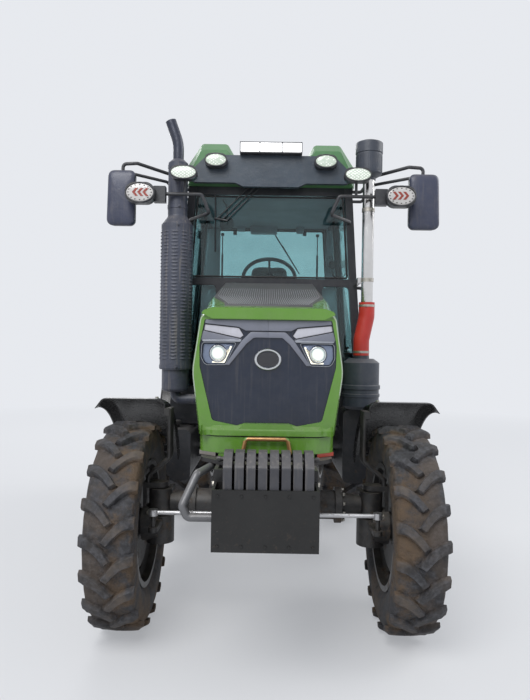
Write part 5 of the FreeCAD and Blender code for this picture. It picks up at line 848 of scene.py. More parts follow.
# Exhaust: a muffler in a heat shield of rolled sheet, pressed with rows of louvres and held by two
# clamps, with a bent pipe on top. The paint has gone chalky in the heat.
exhaust_black = weathered("exhaust_black", (0.050, 0.057, 0.084), 0.46, dusty=0.25, chips=0.3, streaks=0.35)
dress(exhaust_black, "muffler")
pipe_dark = weathered("pipe_dark", (0.030, 0.036, 0.058), 0.35, metallic=0.3, dusty=0.15)
dress(pipe_dark, "tailpipe")
stack_y = front_axle_y + 0.700
muffler_x = -0.590
louvre_form = bmesh.new()
rings = []
sheet = 0.1002
for step in range(7):
    angle = (step / 6 - 0.5) * 0.46
    lip = sheet + 0.0010 + 0.0042 * math.cos((step / 6 - 0.5) * math.pi)
    rings.append([(math.sin(angle) * reach, -math.cos(angle) * reach, z)
                  for reach, z in ((sheet, 0.004), (lip, -0.0042), (lip, -0.0056), (sheet, -0.0050))])
skin(louvre_form, rings)
louvres = finished("muffler_louvres", louvre_form, exhaust_black, 30)
repeated(louvres, 10, turn=(0, 0, 36))
repeated(louvres, 38, step=(0, 0, 0.0215), centre=(muffler_x, stack_y, 1.372))
ridden(louvres, "chassis")


def clamp(form, x, z, half_tall, inner, outer, steps):
    """A band round one of the upright stacks."""
    lathe(form, [(z - half_tall, inner), (z - half_tall, outer), (z + half_tall, outer), (z + half_tall, inner)],
          (x, stack_y, 0), "z", steps, closed=True)


clamp_form = bmesh.new()
for z, reach in ((1.318, 0.1008), (2.205, 0.0985), (2.330, 0.0628), (2.585, 0.0628)):
    clamp(clamp_form, muffler_x, z, 0.011, reach - 0.003, reach + 0.0022, 56)
    hexagon_bolt(clamp_form, (muffler_x + 0.02, stack_y - reach - 0.004, z), 0.006, 0.008)
fitted("muffler_clamps", clamp_form, exhaust_black)

# Intake: a ribbed plastic filter housing, a red rubber hose between two clamps, a polished pipe with
# a bracket, and a pre-cleaner with louvred inlets round its bowl.
moulded_black = weathered("moulded_black", (0.028, 0.030, 0.036), 0.42, dusty=0.24, soil=0.12, soil_top=1.2)
dress(moulded_black, "fuel_tank", "battery_box", "dashboard", "mirrors", "work_lamps", "steering_wheel")
# The air cleaner and pre-cleaner are black plastic; the blue in their colour is a painted sky glare.
filter_black_sky_glare = weathered("filter_black_sky_glare", (0.040, 0.049, 0.068), 0.42, dusty=0.22, soil=0.08, soil_top=1.3)
dress(filter_black_sky_glare, "air_cleaner", "pre_cleaner")
red_rubber = weathered("red_rubber", (0.46, 0.028, 0.020), 0.38, dusty=0.14, variation=0.1)
dress(red_rubber, "intake_hose")
polished_steel = weathered("polished_steel", (0.64, 0.63, 0.62), 0.16, metallic=1.0, dusty=0.06, grain=200.0)
dress(polished_steel, "intake_pipe")
intake_x = 0.625
cleaner_x = 0.594
hose_clamp_form = bmesh.new()
for x, z in ((cleaner_x, 1.428), (intake_x, 1.722)):
    clamp(hose_clamp_form, x, z, 0.007, 0.0485, 0.0515, 48)
    hexagon_bolt(hose_clamp_form, (x - 0.015, stack_y - 0.0515, z), 0.005, 0.009)
for z in (1.886, 2.330):
    clamp(hose_clamp_form, intake_x, z, 0.012, 0.0380, 0.0405, 40)
    hexagon_bolt(hose_clamp_form, (intake_x + 0.012, stack_y - 0.0400, z), 0.005, 0.009)
fitted("hose_clamps", hose_clamp_form, plated)
vane_form = bmesh.new()
skin(vane_form, [[(-0.0035, -0.0815, z), (0.0035, -0.0815, z), (0.0045, -0.0838, z), (-0.0015, -0.0838, z)]
                 for z in (0.0, 0.104)])
vanes = finished("pre_cleaner_vanes", vane_form, filter_black_sky_glare)
repeated(vanes, 40, turn=(0, 0, 9), centre=(intake_x, stack_y, 2.570))
ridden(vanes, "chassis")

# Cab: a welded tube frame and two doors in black paint, with a pull handle and a lock on each door and a
# grab rail ahead of it on the front post.
cab_black = weathered("cab_black", (0.016, 0.018, 0.023), 0.32, dusty=0.16, soil=0.08, soil_top=1.2)
dress(cab_black, "cab_frame", "cab_floor", "door_frame_left", "door_frame_right")


def cab_side(z):
    """The outer face of the cab's leaning side at a height."""
    return 0.668 - (z - 0.925) * math.tan(math.radians(4.5))


for side, side_name in sides:
    handle_form = bmesh.new()
    handle_y, handle_low, handle_high = -0.140, 1.50, 1.66
    bent_tube(handle_form, [(cab_side(z) + out, handle_y, z) for z, out in (
        (handle_low, -0.004), (handle_low, 0.036), (handle_high, 0.036), (handle_high, -0.004))], 0.009, 0.025)
    lathe(handle_form, [(-0.004, 0.0), (-0.004, 0.014), (0.006, 0.014), (0.008, 0.011), (0.008, 0.0)],
          (cab_side(1.44), handle_y, 1.44), "x", 24)
    handle = finished(f"door_handle_{side_name}", handle_form, cab_black)
    if side < 0:
        handle.data.transform(Matrix.Scale(-1, 4, (1, 0, 0)))
        handle.data.flip_normals()
    ridden(handle, f"door_{side_name}")
    rail_form = bmesh.new()
    bent_tube(rail_form, [(side * (cab_side(z) + out), -0.205, z) for z, out in (
        (1.30, -0.01), (1.30, 0.045), (1.86, 0.045), (1.86, -0.01))], 0.011, 0.04)
    fitted(f"grab_rail_{side_name}", rail_form, cab_black)

# Windows: green-blue tinted glass, a little dusty. The windshield and the rear window lie in black rubber
# seals along their edges.
cab_glass, glass_tree, glass_shader = new_material("cab_glass", (0.51, 0.71, 0.72), 0.02)
glass_place = object_place(glass_tree)
glass_film = spread(glass_tree, noise(glass_tree, glass_place, 2.5, 5.0), 0.35, 0.75)
glass_tone = mix(glass_tree, glass_film, (0.50, 0.71, 0.72), (0.43, 0.63, 0.65))
glass_tree.links.new(glass_tone, glass_shader.inputs["Base Color"])
glass_shader.inputs["Transmission Weight"].default_value = 1.0
glass_shader.inputs["IOR"].default_value = 1.45
dress(cab_glass, "windshield", "side_windows", "rear_window", "door_glass_left", "door_glass_right")
seal_rubber = weathered("seal_rubber", (0.012, 0.012, 0.013), 0.6, dusty=0.12)
screen_lean = math.atan2(0.058, 0.600)
screen_y, screen_z = front_axle_y + 0.944, 1.915
screen_stand = Matrix.Translation((0, screen_y, screen_z)) @ Matrix.Rotation(screen_lean, 4, "X")
seal_form = bmesh.new()
screen_edge = rounded([(-0.534, 0.003, 0.02), (0.534, 0.003, 0.02), (0.491, 0.546, 0.02), (-0.491, 0.546, 0.02)])
trim_ring(seal_form, inset(screen_edge, 0.006), 0.006, -0.004, 0.002)
seal = finished("windshield_seal", seal_form, seal_rubber)
seal.data.transform(screen_stand)
ridden(seal, "chassis")
seal_form = bmesh.new()
rear_edge = rounded([(-0.531, 1.5, 0.03), (0.531, 1.5, 0.03), (0.466, 2.461, 0.03), (-0.466, 2.461, 0.03)])
trim_ring(seal_form, inset(rear_edge, 0.007), 0.007, 0.9165, 0.9215)
trim_ring(seal_form, inset(rear_edge, 0.007), 0.007, 0.9285, 0.9335)
fitted("rear_window_seals", seal_form, seal_rubber)

# Wipers: a tall blade held upright in front of the windshield by two thin parallel arms from a motor
# under the visor, and a short slanted wiper on the rear window.
wiper_black = weathered("wiper_black", (0.014, 0.016, 0.019), 0.4, dusty=0.15)
wiper_form = bmesh.new()


def before_screen(x, z, out):
    """A point ahead of the leaning windshield."""
    return Vector((x, screen_y - (z - screen_z) * math.tan(screen_lean) - out, z))


blade_x = -0.366
bent_tube(wiper_form, [before_screen(blade_x, z, 0.012) for z in (2.085, 2.47)], 0.0065, 0, 8, 0.6)
bent_tube(wiper_form, [before_screen(blade_x, z, 0.024) for z in (2.13, 2.43)], 0.0045, 0, 8)
for shift in (0.0, 0.034, 0.062):
    bent_tube(wiper_form, [before_screen(-0.352 + shift, 2.300 - shift * 0.2, 0.034),
                           before_screen(-0.118 + shift, 2.535 - shift * 0.2, 0.030)], 0.0048, 0, 10)
bent_tube(wiper_form, [before_screen(-0.372, 2.303, 0.028), before_screen(-0.283, 2.287, 0.036)], 0.0085, 0, 10)
for x, z in ((blade_x, 2.303), (-0.330, 2.296), (-0.296, 2.290)):
    hexagon_bolt(wiper_form, before_screen(x, z, 0.034), 0.006, 0.008)
fitted("windshield_wiper", wiper_form, wiper_black)
rear_wiper_form = bmesh.new()
bent_tube(rear_wiper_form, [(0.02, 0.951, 2.485), (0.02, 0.966, 2.485), (0.05, 0.966, 2.42), (0.235, 0.950, 2.13)],
          0.006, 0.03, 10)
bent_tube(rear_wiper_form, [(0.11, 0.942, 2.33), (0.262, 0.942, 2.085)], 0.0065, 0, 8, 0.6)
lathe(rear_wiper_form, [(-0.002, 0.0), (-0.002, 0.018), (0.018, 0.016), (0.020, 0.0)], (0.02, 0.950, 2.485), "y", 24)
fitted("rear_wiper", rear_wiper_form, wiper_black)

# Roof: a cap moulded in green plastic with a raised ridge along each side, and a dark visor fixed under
# its front edge, above the windshield. The visor is black plastic; the blue in its colour is painted sky light.
roof_green = weathered("roof_green", (0.075, 0.225, 0.080), 0.42, dusty=0.22, coat=0.08, variation=0.06)
dress(roof_green, "roof")
# Black plastic whose blue tint is painted sky light.
visor_black_sky_tint = weathered("visor_black_sky_tint", (0.034, 0.050, 0.070), 0.30, dusty=0.12, coat=0.2)
dress(visor_black_sky_tint, "roof_visor")


# Work lamps: black oval housings on the roof, on the stacks' brackets and on the side tubes. Roof
# lamps and the light bar are switched on, and so are the side lamps behind their faceted lenses.
def domed(form, points, face, back, height):
    """A lens: an outline that rises to a dome ahead of a face."""
    middle = sum(points, Vector((0, 0))) / len(points)
    rings = [upright(points, back), upright(points, face)]
    for step in range(1, 7):
        angle = step / 6 * math.pi / 2
        share = max(0.02, math.cos(angle))
        rings.append(upright([middle + (point - middle) * share for point in points], face - height * math.sin(angle)))
    skin(form, rings)


bar_white = lit("bar_white", (1.0, 1.0, 1.0), 1.1)
facet_lens, facet_tree, facet_shader = new_material("facet_lens", (0.30, 0.32, 0.30), 0.12)
facet_place = object_place(facet_tree)
facet_turn = add(facet_tree, "ShaderNodeMapping", {"Vector": facet_place, "Rotation": (0, math.radians(45), 0),
                                                   "Scale": (1.0, 0.02, 1.35)}).outputs[0]
facet_cell = add(facet_tree, "ShaderNodeTexVoronoi", {"Vector": facet_turn, "Scale": 62.0, "Randomness": 0.25},
                 distance="CHEBYCHEV").outputs["Distance"]
facet_tone = mix(facet_tree, spread(facet_tree, facet_cell, 0.16, 0.40), (1.0, 1.0, 0.97), (0.42, 0.52, 0.40))
facet_tree.links.new(facet_tone, facet_shader.inputs["Emission Color"])
facet_shader.inputs["Emission Strength"].default_value = 0.78
facet_tree.links.new(raised(facet_tree, facet_cell, 0.004, 0.7), facet_shader.inputs["Normal"])
facet_shader.inputs["Coat Weight"].default_value = 0.5

roof_lamp_y, side_lamp_y = -0.4610, -0.6225
for lamps, x, z, lens, rim, rim_half, face, rim_front, rim_back, dome in (
        ("roof_lamp", 0.352, 2.640, (0.0645, 0.0365), (0.0685, 0.0400), 0.0038, roof_lamp_y, -0.4665, -0.4595, 0.010),
        ("side_lamp", 0.535, 2.513, (0.0755, 0.0370), (0.0788, 0.0398), 0.0032, side_lamp_y, -0.6270, -0.6205, 0.009)):
    lens_form, rim_form = bmesh.new(), bmesh.new()
    for middle in (-x, x):
        domed(lens_form, ellipse(middle, z, *lens), face, face + 0.003, dome)
        trim_ring(rim_form, ellipse(middle, z, *rim), rim_half, rim_front, rim_back)
    fitted(f"{lamps}_lenses", lens_form, facet_lens, crease=60)
    fitted(f"{lamps}_rims", rim_form, moulded_black, crease=60)
bar_form = bmesh.new()
for middle, half in ((-0.1345, 0.0600), (0.0, 0.0700), (0.1345, 0.0600)):
    plate(bar_form, oblong(middle - half, middle + half, 2.697, 2.755, 0.006), -0.4560, -0.4490, 0.003)
fitted("light_bar_lenses", bar_form, bar_white)
fin_form = bmesh.new()
skin(fin_form, [[(x, y, z) for x, y in ((-0.0012, 0.0), (0.0012, 0.0), (0.0012, 0.045), (-0.0012, 0.045))]
                for z in (2.7615, 2.7680)])
fins = finished("light_bar_fins", fin_form, moulded_black)
repeated(fins, 46, step=(0.0086, 0, 0), centre=(-0.1935, -0.400, 0))
ridden(fins, "chassis")

# Indicators: pale oval lenses with a ring of dark lamp seats and three red-brown arrows that point
# outwards, in black housings on the side tubes.
indicator_pale = weathered("indicator_pale", (0.60, 0.58, 0.56), 0.16, dusty=0.12, coat=0.6, grain=160.0)
arrow_red = weathered("arrow_red", (0.30, 0.045, 0.028), 0.25, dusty=0.1, coat=0.3)
seat_dark = weathered("lamp_seat_dark", (0.035, 0.030, 0.030), 0.4, dusty=0.15)
indicator_z = 2.385
for side, side_name in sides:
    indicator_x = side * 0.800
    lens_form = bmesh.new()
    domed(lens_form, ellipse(indicator_x, indicator_z, 0.0835, 0.0555), side_lamp_y, side_lamp_y + 0.003, 0.006)
    fitted(f"indicator_lens_{side_name}", lens_form, indicator_pale, crease=60)
    rim_form = bmesh.new()
    trim_ring(rim_form, ellipse(indicator_x, indicator_z, 0.0875, 0.0595), 0.0042, side_lamp_y - 0.006,
              side_lamp_y + 0.002)
    fitted(f"indicator_rim_{side_name}", rim_form, moulded_black, crease=60)
    dot_form = bmesh.new()
    lathe(dot_form, [(0.004, 0.0), (0.004, 0.075), (0.0, 0.075), (-0.001, 0.04), (-0.001, 0.0)], (0, 0, 1), "y", 10)
    dots = finished(f"indicator_dots_{side_name}", dot_form, seat_dark)
    repeated(dots, 16, turn=(0, 22.5, 0))
    dots.data.transform(
        Matrix.Translation((indicator_x, -0.6260, indicator_z)) @ Matrix.Diagonal((0.0715, 1, 0.0455, 1)))
    ridden(dots, "chassis")
    arrow_form = bmesh.new()
    for shift in (-0.036, -0.004, 0.028):
        tip, reach, tall, wide = indicator_x + side * (shift + 0.018), 0.020, 0.024, 0.017
        heel, tail, notch = tip - side * reach, tip - side * (reach + wide), tip - side * wide
        corners = [(tip, 0.0), (heel, tall), (tail, tall), (notch, 0.0), (tail, -tall), (heel, -tall)]
        skin(arrow_form, [[(x, y, indicator_z + z) for x, z in corners] for y in (-0.6300, -0.6240)])
    fitted(f"indicator_arrows_{side_name}", arrow_form, arrow_red)

# Mirrors: crowned shells of dark plastic at the ends of bent tubes, one on each side of the cab, with a
# silvered glass that faces the driver.
mirror_back = weathered("mirror_back", (0.040, 0.047, 0.082), 0.36, dusty=0.22, streaks=0.1)
mirror_glass, mirror_tree, mirror_shader = new_material("mirror_glass", (0.78, 0.80, 0.82), 0.03, 1.0)
mirror_place = object_place(mirror_tree)
mirror_tree.links.new(spread(mirror_tree, noise(mirror_tree, mirror_place, 30.0), 0.4, 0.8, 0.02, 0.10),
                      mirror_shader.inputs["Roughness"])
shell_form = bmesh.new()
face_form = bmesh.new()
mirror_low, mirror_high = 2.208, 2.552
for side, middle, half in ((1, 0.972, 0.095), (-1, 0.945, 0.088)):
    x = side * middle
    (left_bend, left_lean), (right_bend, right_lean) = ((0.036, 0.0), (0.044, 0.008))[::side]
    outline = rounded([(x - half, mirror_low, left_bend), (x + half, mirror_low, right_bend),
                       (x + half - right_lean, mirror_high, right_bend),
                       (x - half + left_lean, mirror_high, left_bend)], 10)
    centre = Vector((x, (mirror_low + mirror_high) / 2))
    skin(shell_form, [upright([centre + (point - centre) * share for point in outline], y) for share, y in (
        (0.985, -0.470), (1.012, -0.480), (1.010, -0.4975), (0.965, -0.5060), (0.89, -0.5120), (0.76, -0.5165),
        (0.55, -0.5198), (0.28, -0.5215), (0.05, -0.5220))])
    plate(face_form, inset(outline, 0.008), -0.4535, -0.4565, 0.001)
fitted("mirror_shells", shell_form, mirror_back, crease=50)
fitted("mirror_glasses", face_form, mirror_glass)

# Cab lining: moulded grey panels behind the low windows, a foot-well lining that also stands as painted
# shade there, a head lining with three housings that hang from its rear edge, wide linings on the rear
# posts, and gas stays beside the rear window.
lining_grey = weathered("lining_grey", (0.30, 0.32, 0.35), 0.6, dusty=0.15, grain=600.0, grain_depth=0.0008)
cab_floor_top = 0.9482
lining_form = bmesh.new()
# The panels behind the low windows are painted shade there as well as a foot-well lining.
for side in (1, -1):
    low = rounded([(side * 0.186, cab_floor_top), (side * 0.530, cab_floor_top, 0.03), (side * 0.500, 1.300, 0.05),
                   (side * 0.455, 1.860, 0.02), (side * 0.186, 1.860)][::side])
    plate(lining_form, low, -0.1885, -0.1800, 0.002)
head = oblong(-0.530, 0.530, 2.468, 2.478, 0)
skin(lining_form, [upright(head, -0.262), upright(head, 0.915)])
for x_low, x_high, bottom in ((-0.280, -0.213, 2.4386), (-0.165, 0.063, 2.416), (0.226, 0.289, 2.4265)):
    plate(lining_form, oblong(x_low, x_high, bottom, 2.470, 0.014, 0), 0.800, 0.900, 0.004)
for low_x, high_x in ((-0.540, -0.425), (0.485, 0.540)):
    post = rounded([(low_x - 0.05 * (low_x < 0), 1.510), (high_x + 0.05 * (low_x > 0), 1.510), (high_x, 2.466),
                    (low_x, 2.466)])
    plate(lining_form, post, 0.880, 0.9165, 0.006)
fitted("cab_lining", lining_form, lining_grey)
stay_form = bmesh.new()
stay_y = 0.895
for x in (-0.405, 0.410):
    bent_tube(stay_form, [(x, stay_y, 2.030), (x, stay_y, 2.240)], 0.0085, 0, 14)
    bent_tube(stay_form, [(x, stay_y, 2.236), (x, stay_y, 2.405)], 0.0045, 0, 12)
    for z in (2.412, 2.024):
        lathe(stay_form, [(-0.013, 0.0), (-0.013, 0.012), (0.013, 0.012), (0.013, 0.0)], (x, stay_y, z), "x", 20)
        bent_tube(stay_form, [(x, stay_y, z), (x, 0.9225, z)], 0.006, 0, 10)
fitted("rear_window_stays", stay_form, moulded_black)

# Cab fan and inner mirror: a small caged fan on the left post and a round mirror on the right one,
# each on a short bent bracket.
fan_form = bmesh.new()
fan_place = Vector((0.500, 0.520, 2.115))
lathe(fan_form, [(0.022, 0.0), (0.024, 0.026), (0.010, 0.034), (-0.004, 0.030), (-0.008, 0.0)], fan_place, "y", 28)
for reach in (0.026, 0.040, 0.054, 0.066):
    lathe(fan_form, [(-0.014, reach - 0.0014), (-0.0165, reach), (-0.014, reach + 0.0014), (-0.0115, reach)], fan_place,
          "y", 36, closed=True)
for step in range(16):
    turn = 2 * math.pi * step / 16
    bent_tube(fan_form, [fan_place + Vector((math.cos(turn) * reach, y, math.sin(turn) * reach))
                         for reach, y in ((0.018, -0.013), (0.066, -0.013), (0.070, 0.010))], 0.0012, 0.008, 6)
bent_tube(fan_form, [fan_place + Vector((0, 0.010, -0.030)), fan_place + Vector((0.010, 0.015, -0.085)),
                     (0.545, 0.560, 2.010)], 0.007, 0.03, 10)
fitted("cab_fan", fan_form, moulded_black)
glass_form = bmesh.new()
lathe(glass_form, [(0.012, 0.0), (0.012, 0.030), (0.006, 0.046), (-0.004, 0.050), (-0.006, 0.046), (-0.006, 0.0)],
      (-0.300, -0.110, 2.300), "y", 40)
bent_tube(glass_form, [(-0.300, -0.100, 2.310), (-0.300, -0.090, 2.420), (-0.330, -0.120, 2.470)], 0.0055, 0.03, 10)
fitted("inner_mirror", glass_form, moulded_black)

# Seat: a cushion and a back of foam in black woven cloth with sewn channels and a welted edge, on a
# moulded shell over rubber bellows, with two folding armrests.
seat_cloth, cloth_tree, cloth_shader = new_material("seat_cloth", (0.030, 0.031, 0.036), 0.85)
cloth_place = object_place(cloth_tree)
weave = [add(cloth_tree, "ShaderNodeTexWave", {"Vector": cloth_place, "Scale": 130.0, "Distortion": 0.4},
             bands_direction=way).outputs["Fac"] for way in ("X", "Z", "Y")]
weave_height = times(cloth_tree, times(cloth_tree, weave[0], weave[1]), weave[2], "ADD")
cloth_worn = spread(cloth_tree, noise(cloth_tree, cloth_place, 7.0, 6.0), 0.35, 0.7)
cloth_thread = mix(cloth_tree, weave_height, (0.016, 0.017, 0.020), (0.060, 0.062, 0.070))
cloth_tone = mix(cloth_tree, times(cloth_tree, cloth_worn, 0.25), cloth_thread, dust)
cloth_tree.links.new(cloth_tone, cloth_shader.inputs["Base Color"])
cloth_tree.links.new(raised(cloth_tree, weave_height, 0.0007, 0.6), cloth_shader.inputs["Normal"])
cloth_shader.inputs["Sheen Weight"].default_value = 0.25
cloth_shader.inputs["Sheen Roughness"].default_value = 0.5


def squircle(half_wide, half_tall, power=5.0, steps=36):
    """A rounded rectangle's points round the origin."""
    points = []
    for step in range(steps):
        angle = 2 * math.pi * step / steps
        reach = (abs(math.cos(angle)) ** power + abs(math.sin(angle)) ** power) ** (-1 / power)
        points.append(Vector((math.cos(angle) * reach * half_wide, math.sin(angle) * reach * half_tall)))
    return points


def foam_pad(name, half_wide, half_long, thick, crown, swell, voxel=0.006):
    """A pad that lies flat: a crowned slab, blown up as cloth over foam by at most the swell."""
    form = bmesh.new()
    rings = []
    for step in range(17):
        angle = (step / 16 - 0.5) * math.pi
        level = math.sin(angle)
        reach = max(0.02, math.cos(angle)) ** 0.22
        lift = crown * max(0.0, level) * (1 - reach ** 6)
        rings.append([(point.x, point.y, level * thick / 2 + lift)
                      for point in squircle(half_wide * reach, half_long * reach)])
    skin(form, rings)
    pad = finished(name, form, seat_cloth, 180)
    remesh = pad.modifiers.new("remesh", "REMESH")
    remesh.mode = "VOXEL"
    remesh.voxel_size = voxel
    remesh.use_smooth_shade = True
    kept_mesh(pad)
    start = [vert.co.copy() for vert in pad.data.vertices]
    cloth = pad.modifiers.new("cloth", "CLOTH")
    cloth.settings.use_pressure = True
    cloth.settings.uniform_pressure_force = 4.0
    cloth.settings.effector_weights.gravity = 0.0
    cloth.settings.quality = 5
    cloth.point_cache.frame_start, cloth.point_cache.frame_end = 1, 20
    for moment in range(1, 21):
        bpy.context.scene.frame_set(moment)
    kept_mesh(pad)
    bpy.context.scene.frame_set(1)
    for vert, before in zip(pad.data.vertices, start):
        move = vert.co - before
        if move.length > swell:
            vert.co = before + move.normalized() * swell
    finer = pad.modifiers.new("finer", "SUBSURF")
    finer.levels = finer.render_levels = 1
    kept_mesh(pad)
    return pad


def kept_mesh(piece):
    """Keeps what a piece's modifiers make as its plain mesh."""
    graph = bpy.context.evaluated_depsgraph_get()
    graph.update()
    mesh = bpy.data.meshes.new_from_object(piece.evaluated_get(graph))
    piece.modifiers.clear()
    piece.data = mesh


def sewn(pad, lines, depth=0.007, wide=0.011):
    """Pulls a pad's upper face in along sewn lines, each a place on x or y and its reach on the other."""
    for vert in pad.data.vertices:
        if vert.co.z <= 0:
            continue
        pull = 0.0
        for axis, place, reach in lines:
            off, along = (vert.co.x - place, vert.co.y) if axis == "x" else (vert.co.y - place, vert.co.x)
            if abs(along) < reach:
                pull = max(pull, math.exp(-(off / wide) ** 2) * min(1.0, (reach - abs(along)) / 0.03))
        vert.co.z -= depth * pull


def welt(pad, half_wide, half_long, level, radius=0.0036):
    """A sewn cord round a pad's edge, laid on its surface."""
    form = bmesh.new()
    path = [pad.closest_point_on_mesh(Vector((point.x * 1.1, point.y * 1.1, level)))[1]
            for point in squircle(half_wide, half_long, 5.0, 120)]
    rings = []
    for index, here in enumerate(path):
        way = (path[(index + 1) % len(path)] - path[index - 1]).normalized()
        across = way.cross(Vector((0, 0, 1))).normalized()
        rings.append([here + across * math.cos(turn) * radius + Vector((0, 0, 1)) * math.sin(turn) * radius
                      for turn in (2 * math.pi * step / 8 for step in range(8))])
    skin(form, rings, closed=True)
    return finished(f"{pad.name}_welt", form, seat_cloth, 60)


cushion_seams = [("x", -0.125, 0.17), ("x", 0.125, 0.17)] + [("y", y, 0.125) for y in (-0.060, 0.020, 0.095)]
back_seams = [("x", -0.120, 0.20), ("x", 0.120, 0.20)] + [("y", y, 0.120) for y in (-0.120, -0.030, 0.060, 0.140)]
for name, half_wide, half_long, thick, crown, swell, seams, edge, place, lean in (
        ("seat_cushion", 0.228, 0.205, 0.096, 0.014, 0.012, cushion_seams, 0.012, (0, 0.575, 1.352), 4),
        ("seat_back", 0.220, 0.240, 0.088, 0.012, 0.012, back_seams, 0.010, (0, 0.815, 1.648), 84),
        ("seat_headrest", 0.150, 0.098, 0.078, 0.010, 0.010, [("y", 0.0, 0.115)], 0.008, (0, 0.846, 2.030), 84)):
    pad = foam_pad(name, half_wide, half_long, thick, crown, swell)
    sewn(pad, seams)
    pad_welt = welt(pad, half_wide, half_long, edge)
    for part in (pad, pad_welt):
        part.data.transform(Matrix.Translation(place) @ Matrix.Rotation(math.radians(lean), 4, "X"))
        ridden(part, "chassis")
    if name == "seat_cushion":
        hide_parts("seat")

seat_shell = weathered("seat_shell", (0.022, 0.022, 0.024), 0.5, dusty=0.2, grain=500.0, grain_depth=0.0008)
shell_form = bmesh.new()
skin(shell_form, [[(point.x, middle_y + point.y, z) for point in squircle(half_wide, half_long, 6.0)]
                  for z, half_wide, half_long, middle_y in (
                      (1.246, 0.150, 0.150, 0.580), (1.262, 0.200, 0.185, 0.580), (1.300, 0.222, 0.200, 0.578),
                      (1.312, 0.224, 0.202, 0.577))])
skin(shell_form, [[(point.x, y, 1.655 + point.y) for point in squircle(half_wide, half_tall, 6.0)]
                  for y, half_wide, half_tall in ((0.846, 0.212, 0.222), (0.862, 0.216, 0.228),
                                                  (0.878, 0.205, 0.218), (0.884, 0.185, 0.20))])
for side in (1, -1):
    bent_tube(shell_form, [(side * 0.195, 0.640, 1.290), (side * 0.205, 0.855, 1.290), (side * 0.205, 0.876, 1.48)],
              0.014, 0.05)
    lathe(shell_form, [(-0.022, 0.0), (-0.022, 0.030), (0.022, 0.030), (0.022, 0.0)],
          (side * 0.243, 0.835, 1.56), "x", 28)
    bent_tube(shell_form, [(side * 0.075, 0.862, 1.84), (side * 0.075, 0.862, 1.99)], 0.008, 0, 12)
fitted("seat_shell", shell_form, seat_shell)
bellows_form = bmesh.new()
bellows_y, fold_pitch = 0.600, 0.0136
skin(bellows_form, [[(point.x, bellows_y + point.y, 0.975 + fold * fold_pitch)
                     for point in squircle(reach, reach + 0.010, 7.0)]
                    for fold, reach in enumerate([0.120, 0.142] * 10 + [0.120])])
fitted("seat_bellows", bellows_form, seal_rubber, crease=20)
plinth_form = bmesh.new()
skin(plinth_form, [[(point.x, bellows_y + point.y, z) for point in squircle(reach, reach, 9.0)]
                   for z, reach in ((cab_floor_top, 0.165), (0.968, 0.165), (0.978, 0.150))])
fitted("seat_plinth", plinth_form, seat_shell)
arm_form = bmesh.new()
for side in (1, -1):
    rings = []
    for step in range(9):
        share = step / 8
        y = 0.845 - 0.300 * share
        half_wide = 0.030 * (1 - 0.25 * share)
        half_tall = 0.024 * (1 - 0.30 * share) * (0.25 if step in (0, 8) else 1)
        rings.append([(side * 0.270 + point.x, y, 1.590 + 0.012 * share + point.y)
                      for point in squircle(half_wide * (0.6 if step in (0, 8) else 1), half_tall, 3.0, 24)])
    skin(arm_form, rings)
fitted("armrests", arm_form, seat_shell, crease=50)

# Dashboard: a moulded cowl with three plain dials under a hood, rows of rocker switches, and levers
# for lights and direction on the column. The steering wheel has a moulded boss.
dial_black = weathered("dial_black", (0.008, 0.008, 0.009), 0.3, dusty=0.05)
dial_white = weathered("dial_white", (0.55, 0.55, 0.54), 0.4, dusty=0.05)
needle_orange = weathered("needle_orange", (0.65, 0.12, 0.02), 0.4, dusty=0.05)
dash_lean = math.atan2(0.135, 0.150)
dash_stand = (Matrix.Translation((0, -0.022, 1.866)) @ Matrix.Rotation(dash_lean - math.pi / 2, 4, "X")
              @ Matrix.Rotation(math.pi, 4, "Z"))


def on_dash(form, name, material, crease=38):
    """Sets a form that was built facing -Y onto the dashboard's sloped face."""
    form.transform(dash_stand)
    return fitted(name, form, material, crease=crease)


cowl_form = bmesh.new()
cowl = oblong(-0.165, 0.165, -0.078, 0.066, 0.03, 0.05)
trim_ring(cowl_form, cowl, 0.010, -0.044, 0.012)
plate(cowl_form, inset(cowl, 0.006), -0.010, 0.004, 0.002)
on_dash(cowl_form, "dash_cowl", moulded_black)
dial_form = bmesh.new()
dial_ring_form = bmesh.new()
needle_form = bmesh.new()
tick_pieces = []
for x, reach in ((-0.092, 0.040), (0.0, 0.046), (0.092, 0.040)):
    lathe(dial_form, [(-0.0125, 0.0), (-0.0125, reach), (-0.008, reach), (-0.008, 0.0)], (x, 0, 0), "y", 48)
    lathe(dial_ring_form, [(-0.009, reach), (-0.018, reach), (-0.020, reach + 0.002), (-0.018, reach + 0.004),
                           (-0.009, reach + 0.005)], (x, 0, 0), "y", 48, closed=True)
    skin(needle_form, [[(x - 0.0016, y, -0.008), (x + 0.0016, y, -0.008), (x + 0.0006 - reach * 0.35, y, reach * 0.72),
                        (x - 0.0006 - reach * 0.35, y, reach * 0.72)] for y in (-0.0160, -0.0148)])
    tick_form = bmesh.new()
    skin(tick_form, [[(-0.0007, y, reach * 0.80), (0.0007, y, reach * 0.80), (0.0007, y, reach * 0.92),
                      (-0.0007, y, reach * 0.92)] for y in (-0.0134, -0.0120)])
    ticks = finished("ticks", tick_form, dial_white)
    repeated(ticks, 17, turn=(0, 15, 0))
    ticks.data.transform(Matrix.Translation((x, 0, 0)) @ Matrix.Rotation(math.radians(-120), 4, "Y"))
    tick_pieces.append(ticks)
on_dash(dial_form, "dial_faces", dial_black)
on_dash(dial_ring_form, "dial_rings", chrome)
on_dash(needle_form, "dial_needles", needle_orange)
dial_ticks = joined("dial_ticks", dial_white, *tick_pieces)
dial_ticks.data.transform(dash_stand)
ridden(dial_ticks, "chassis")
switch_form = bmesh.new()
plate(switch_form, oblong(-0.008, 0.008, -0.012, 0.012, 0.002), -0.0185, -0.008, 0.003)
switches = finished("dash_switches", switch_form, seat_shell)
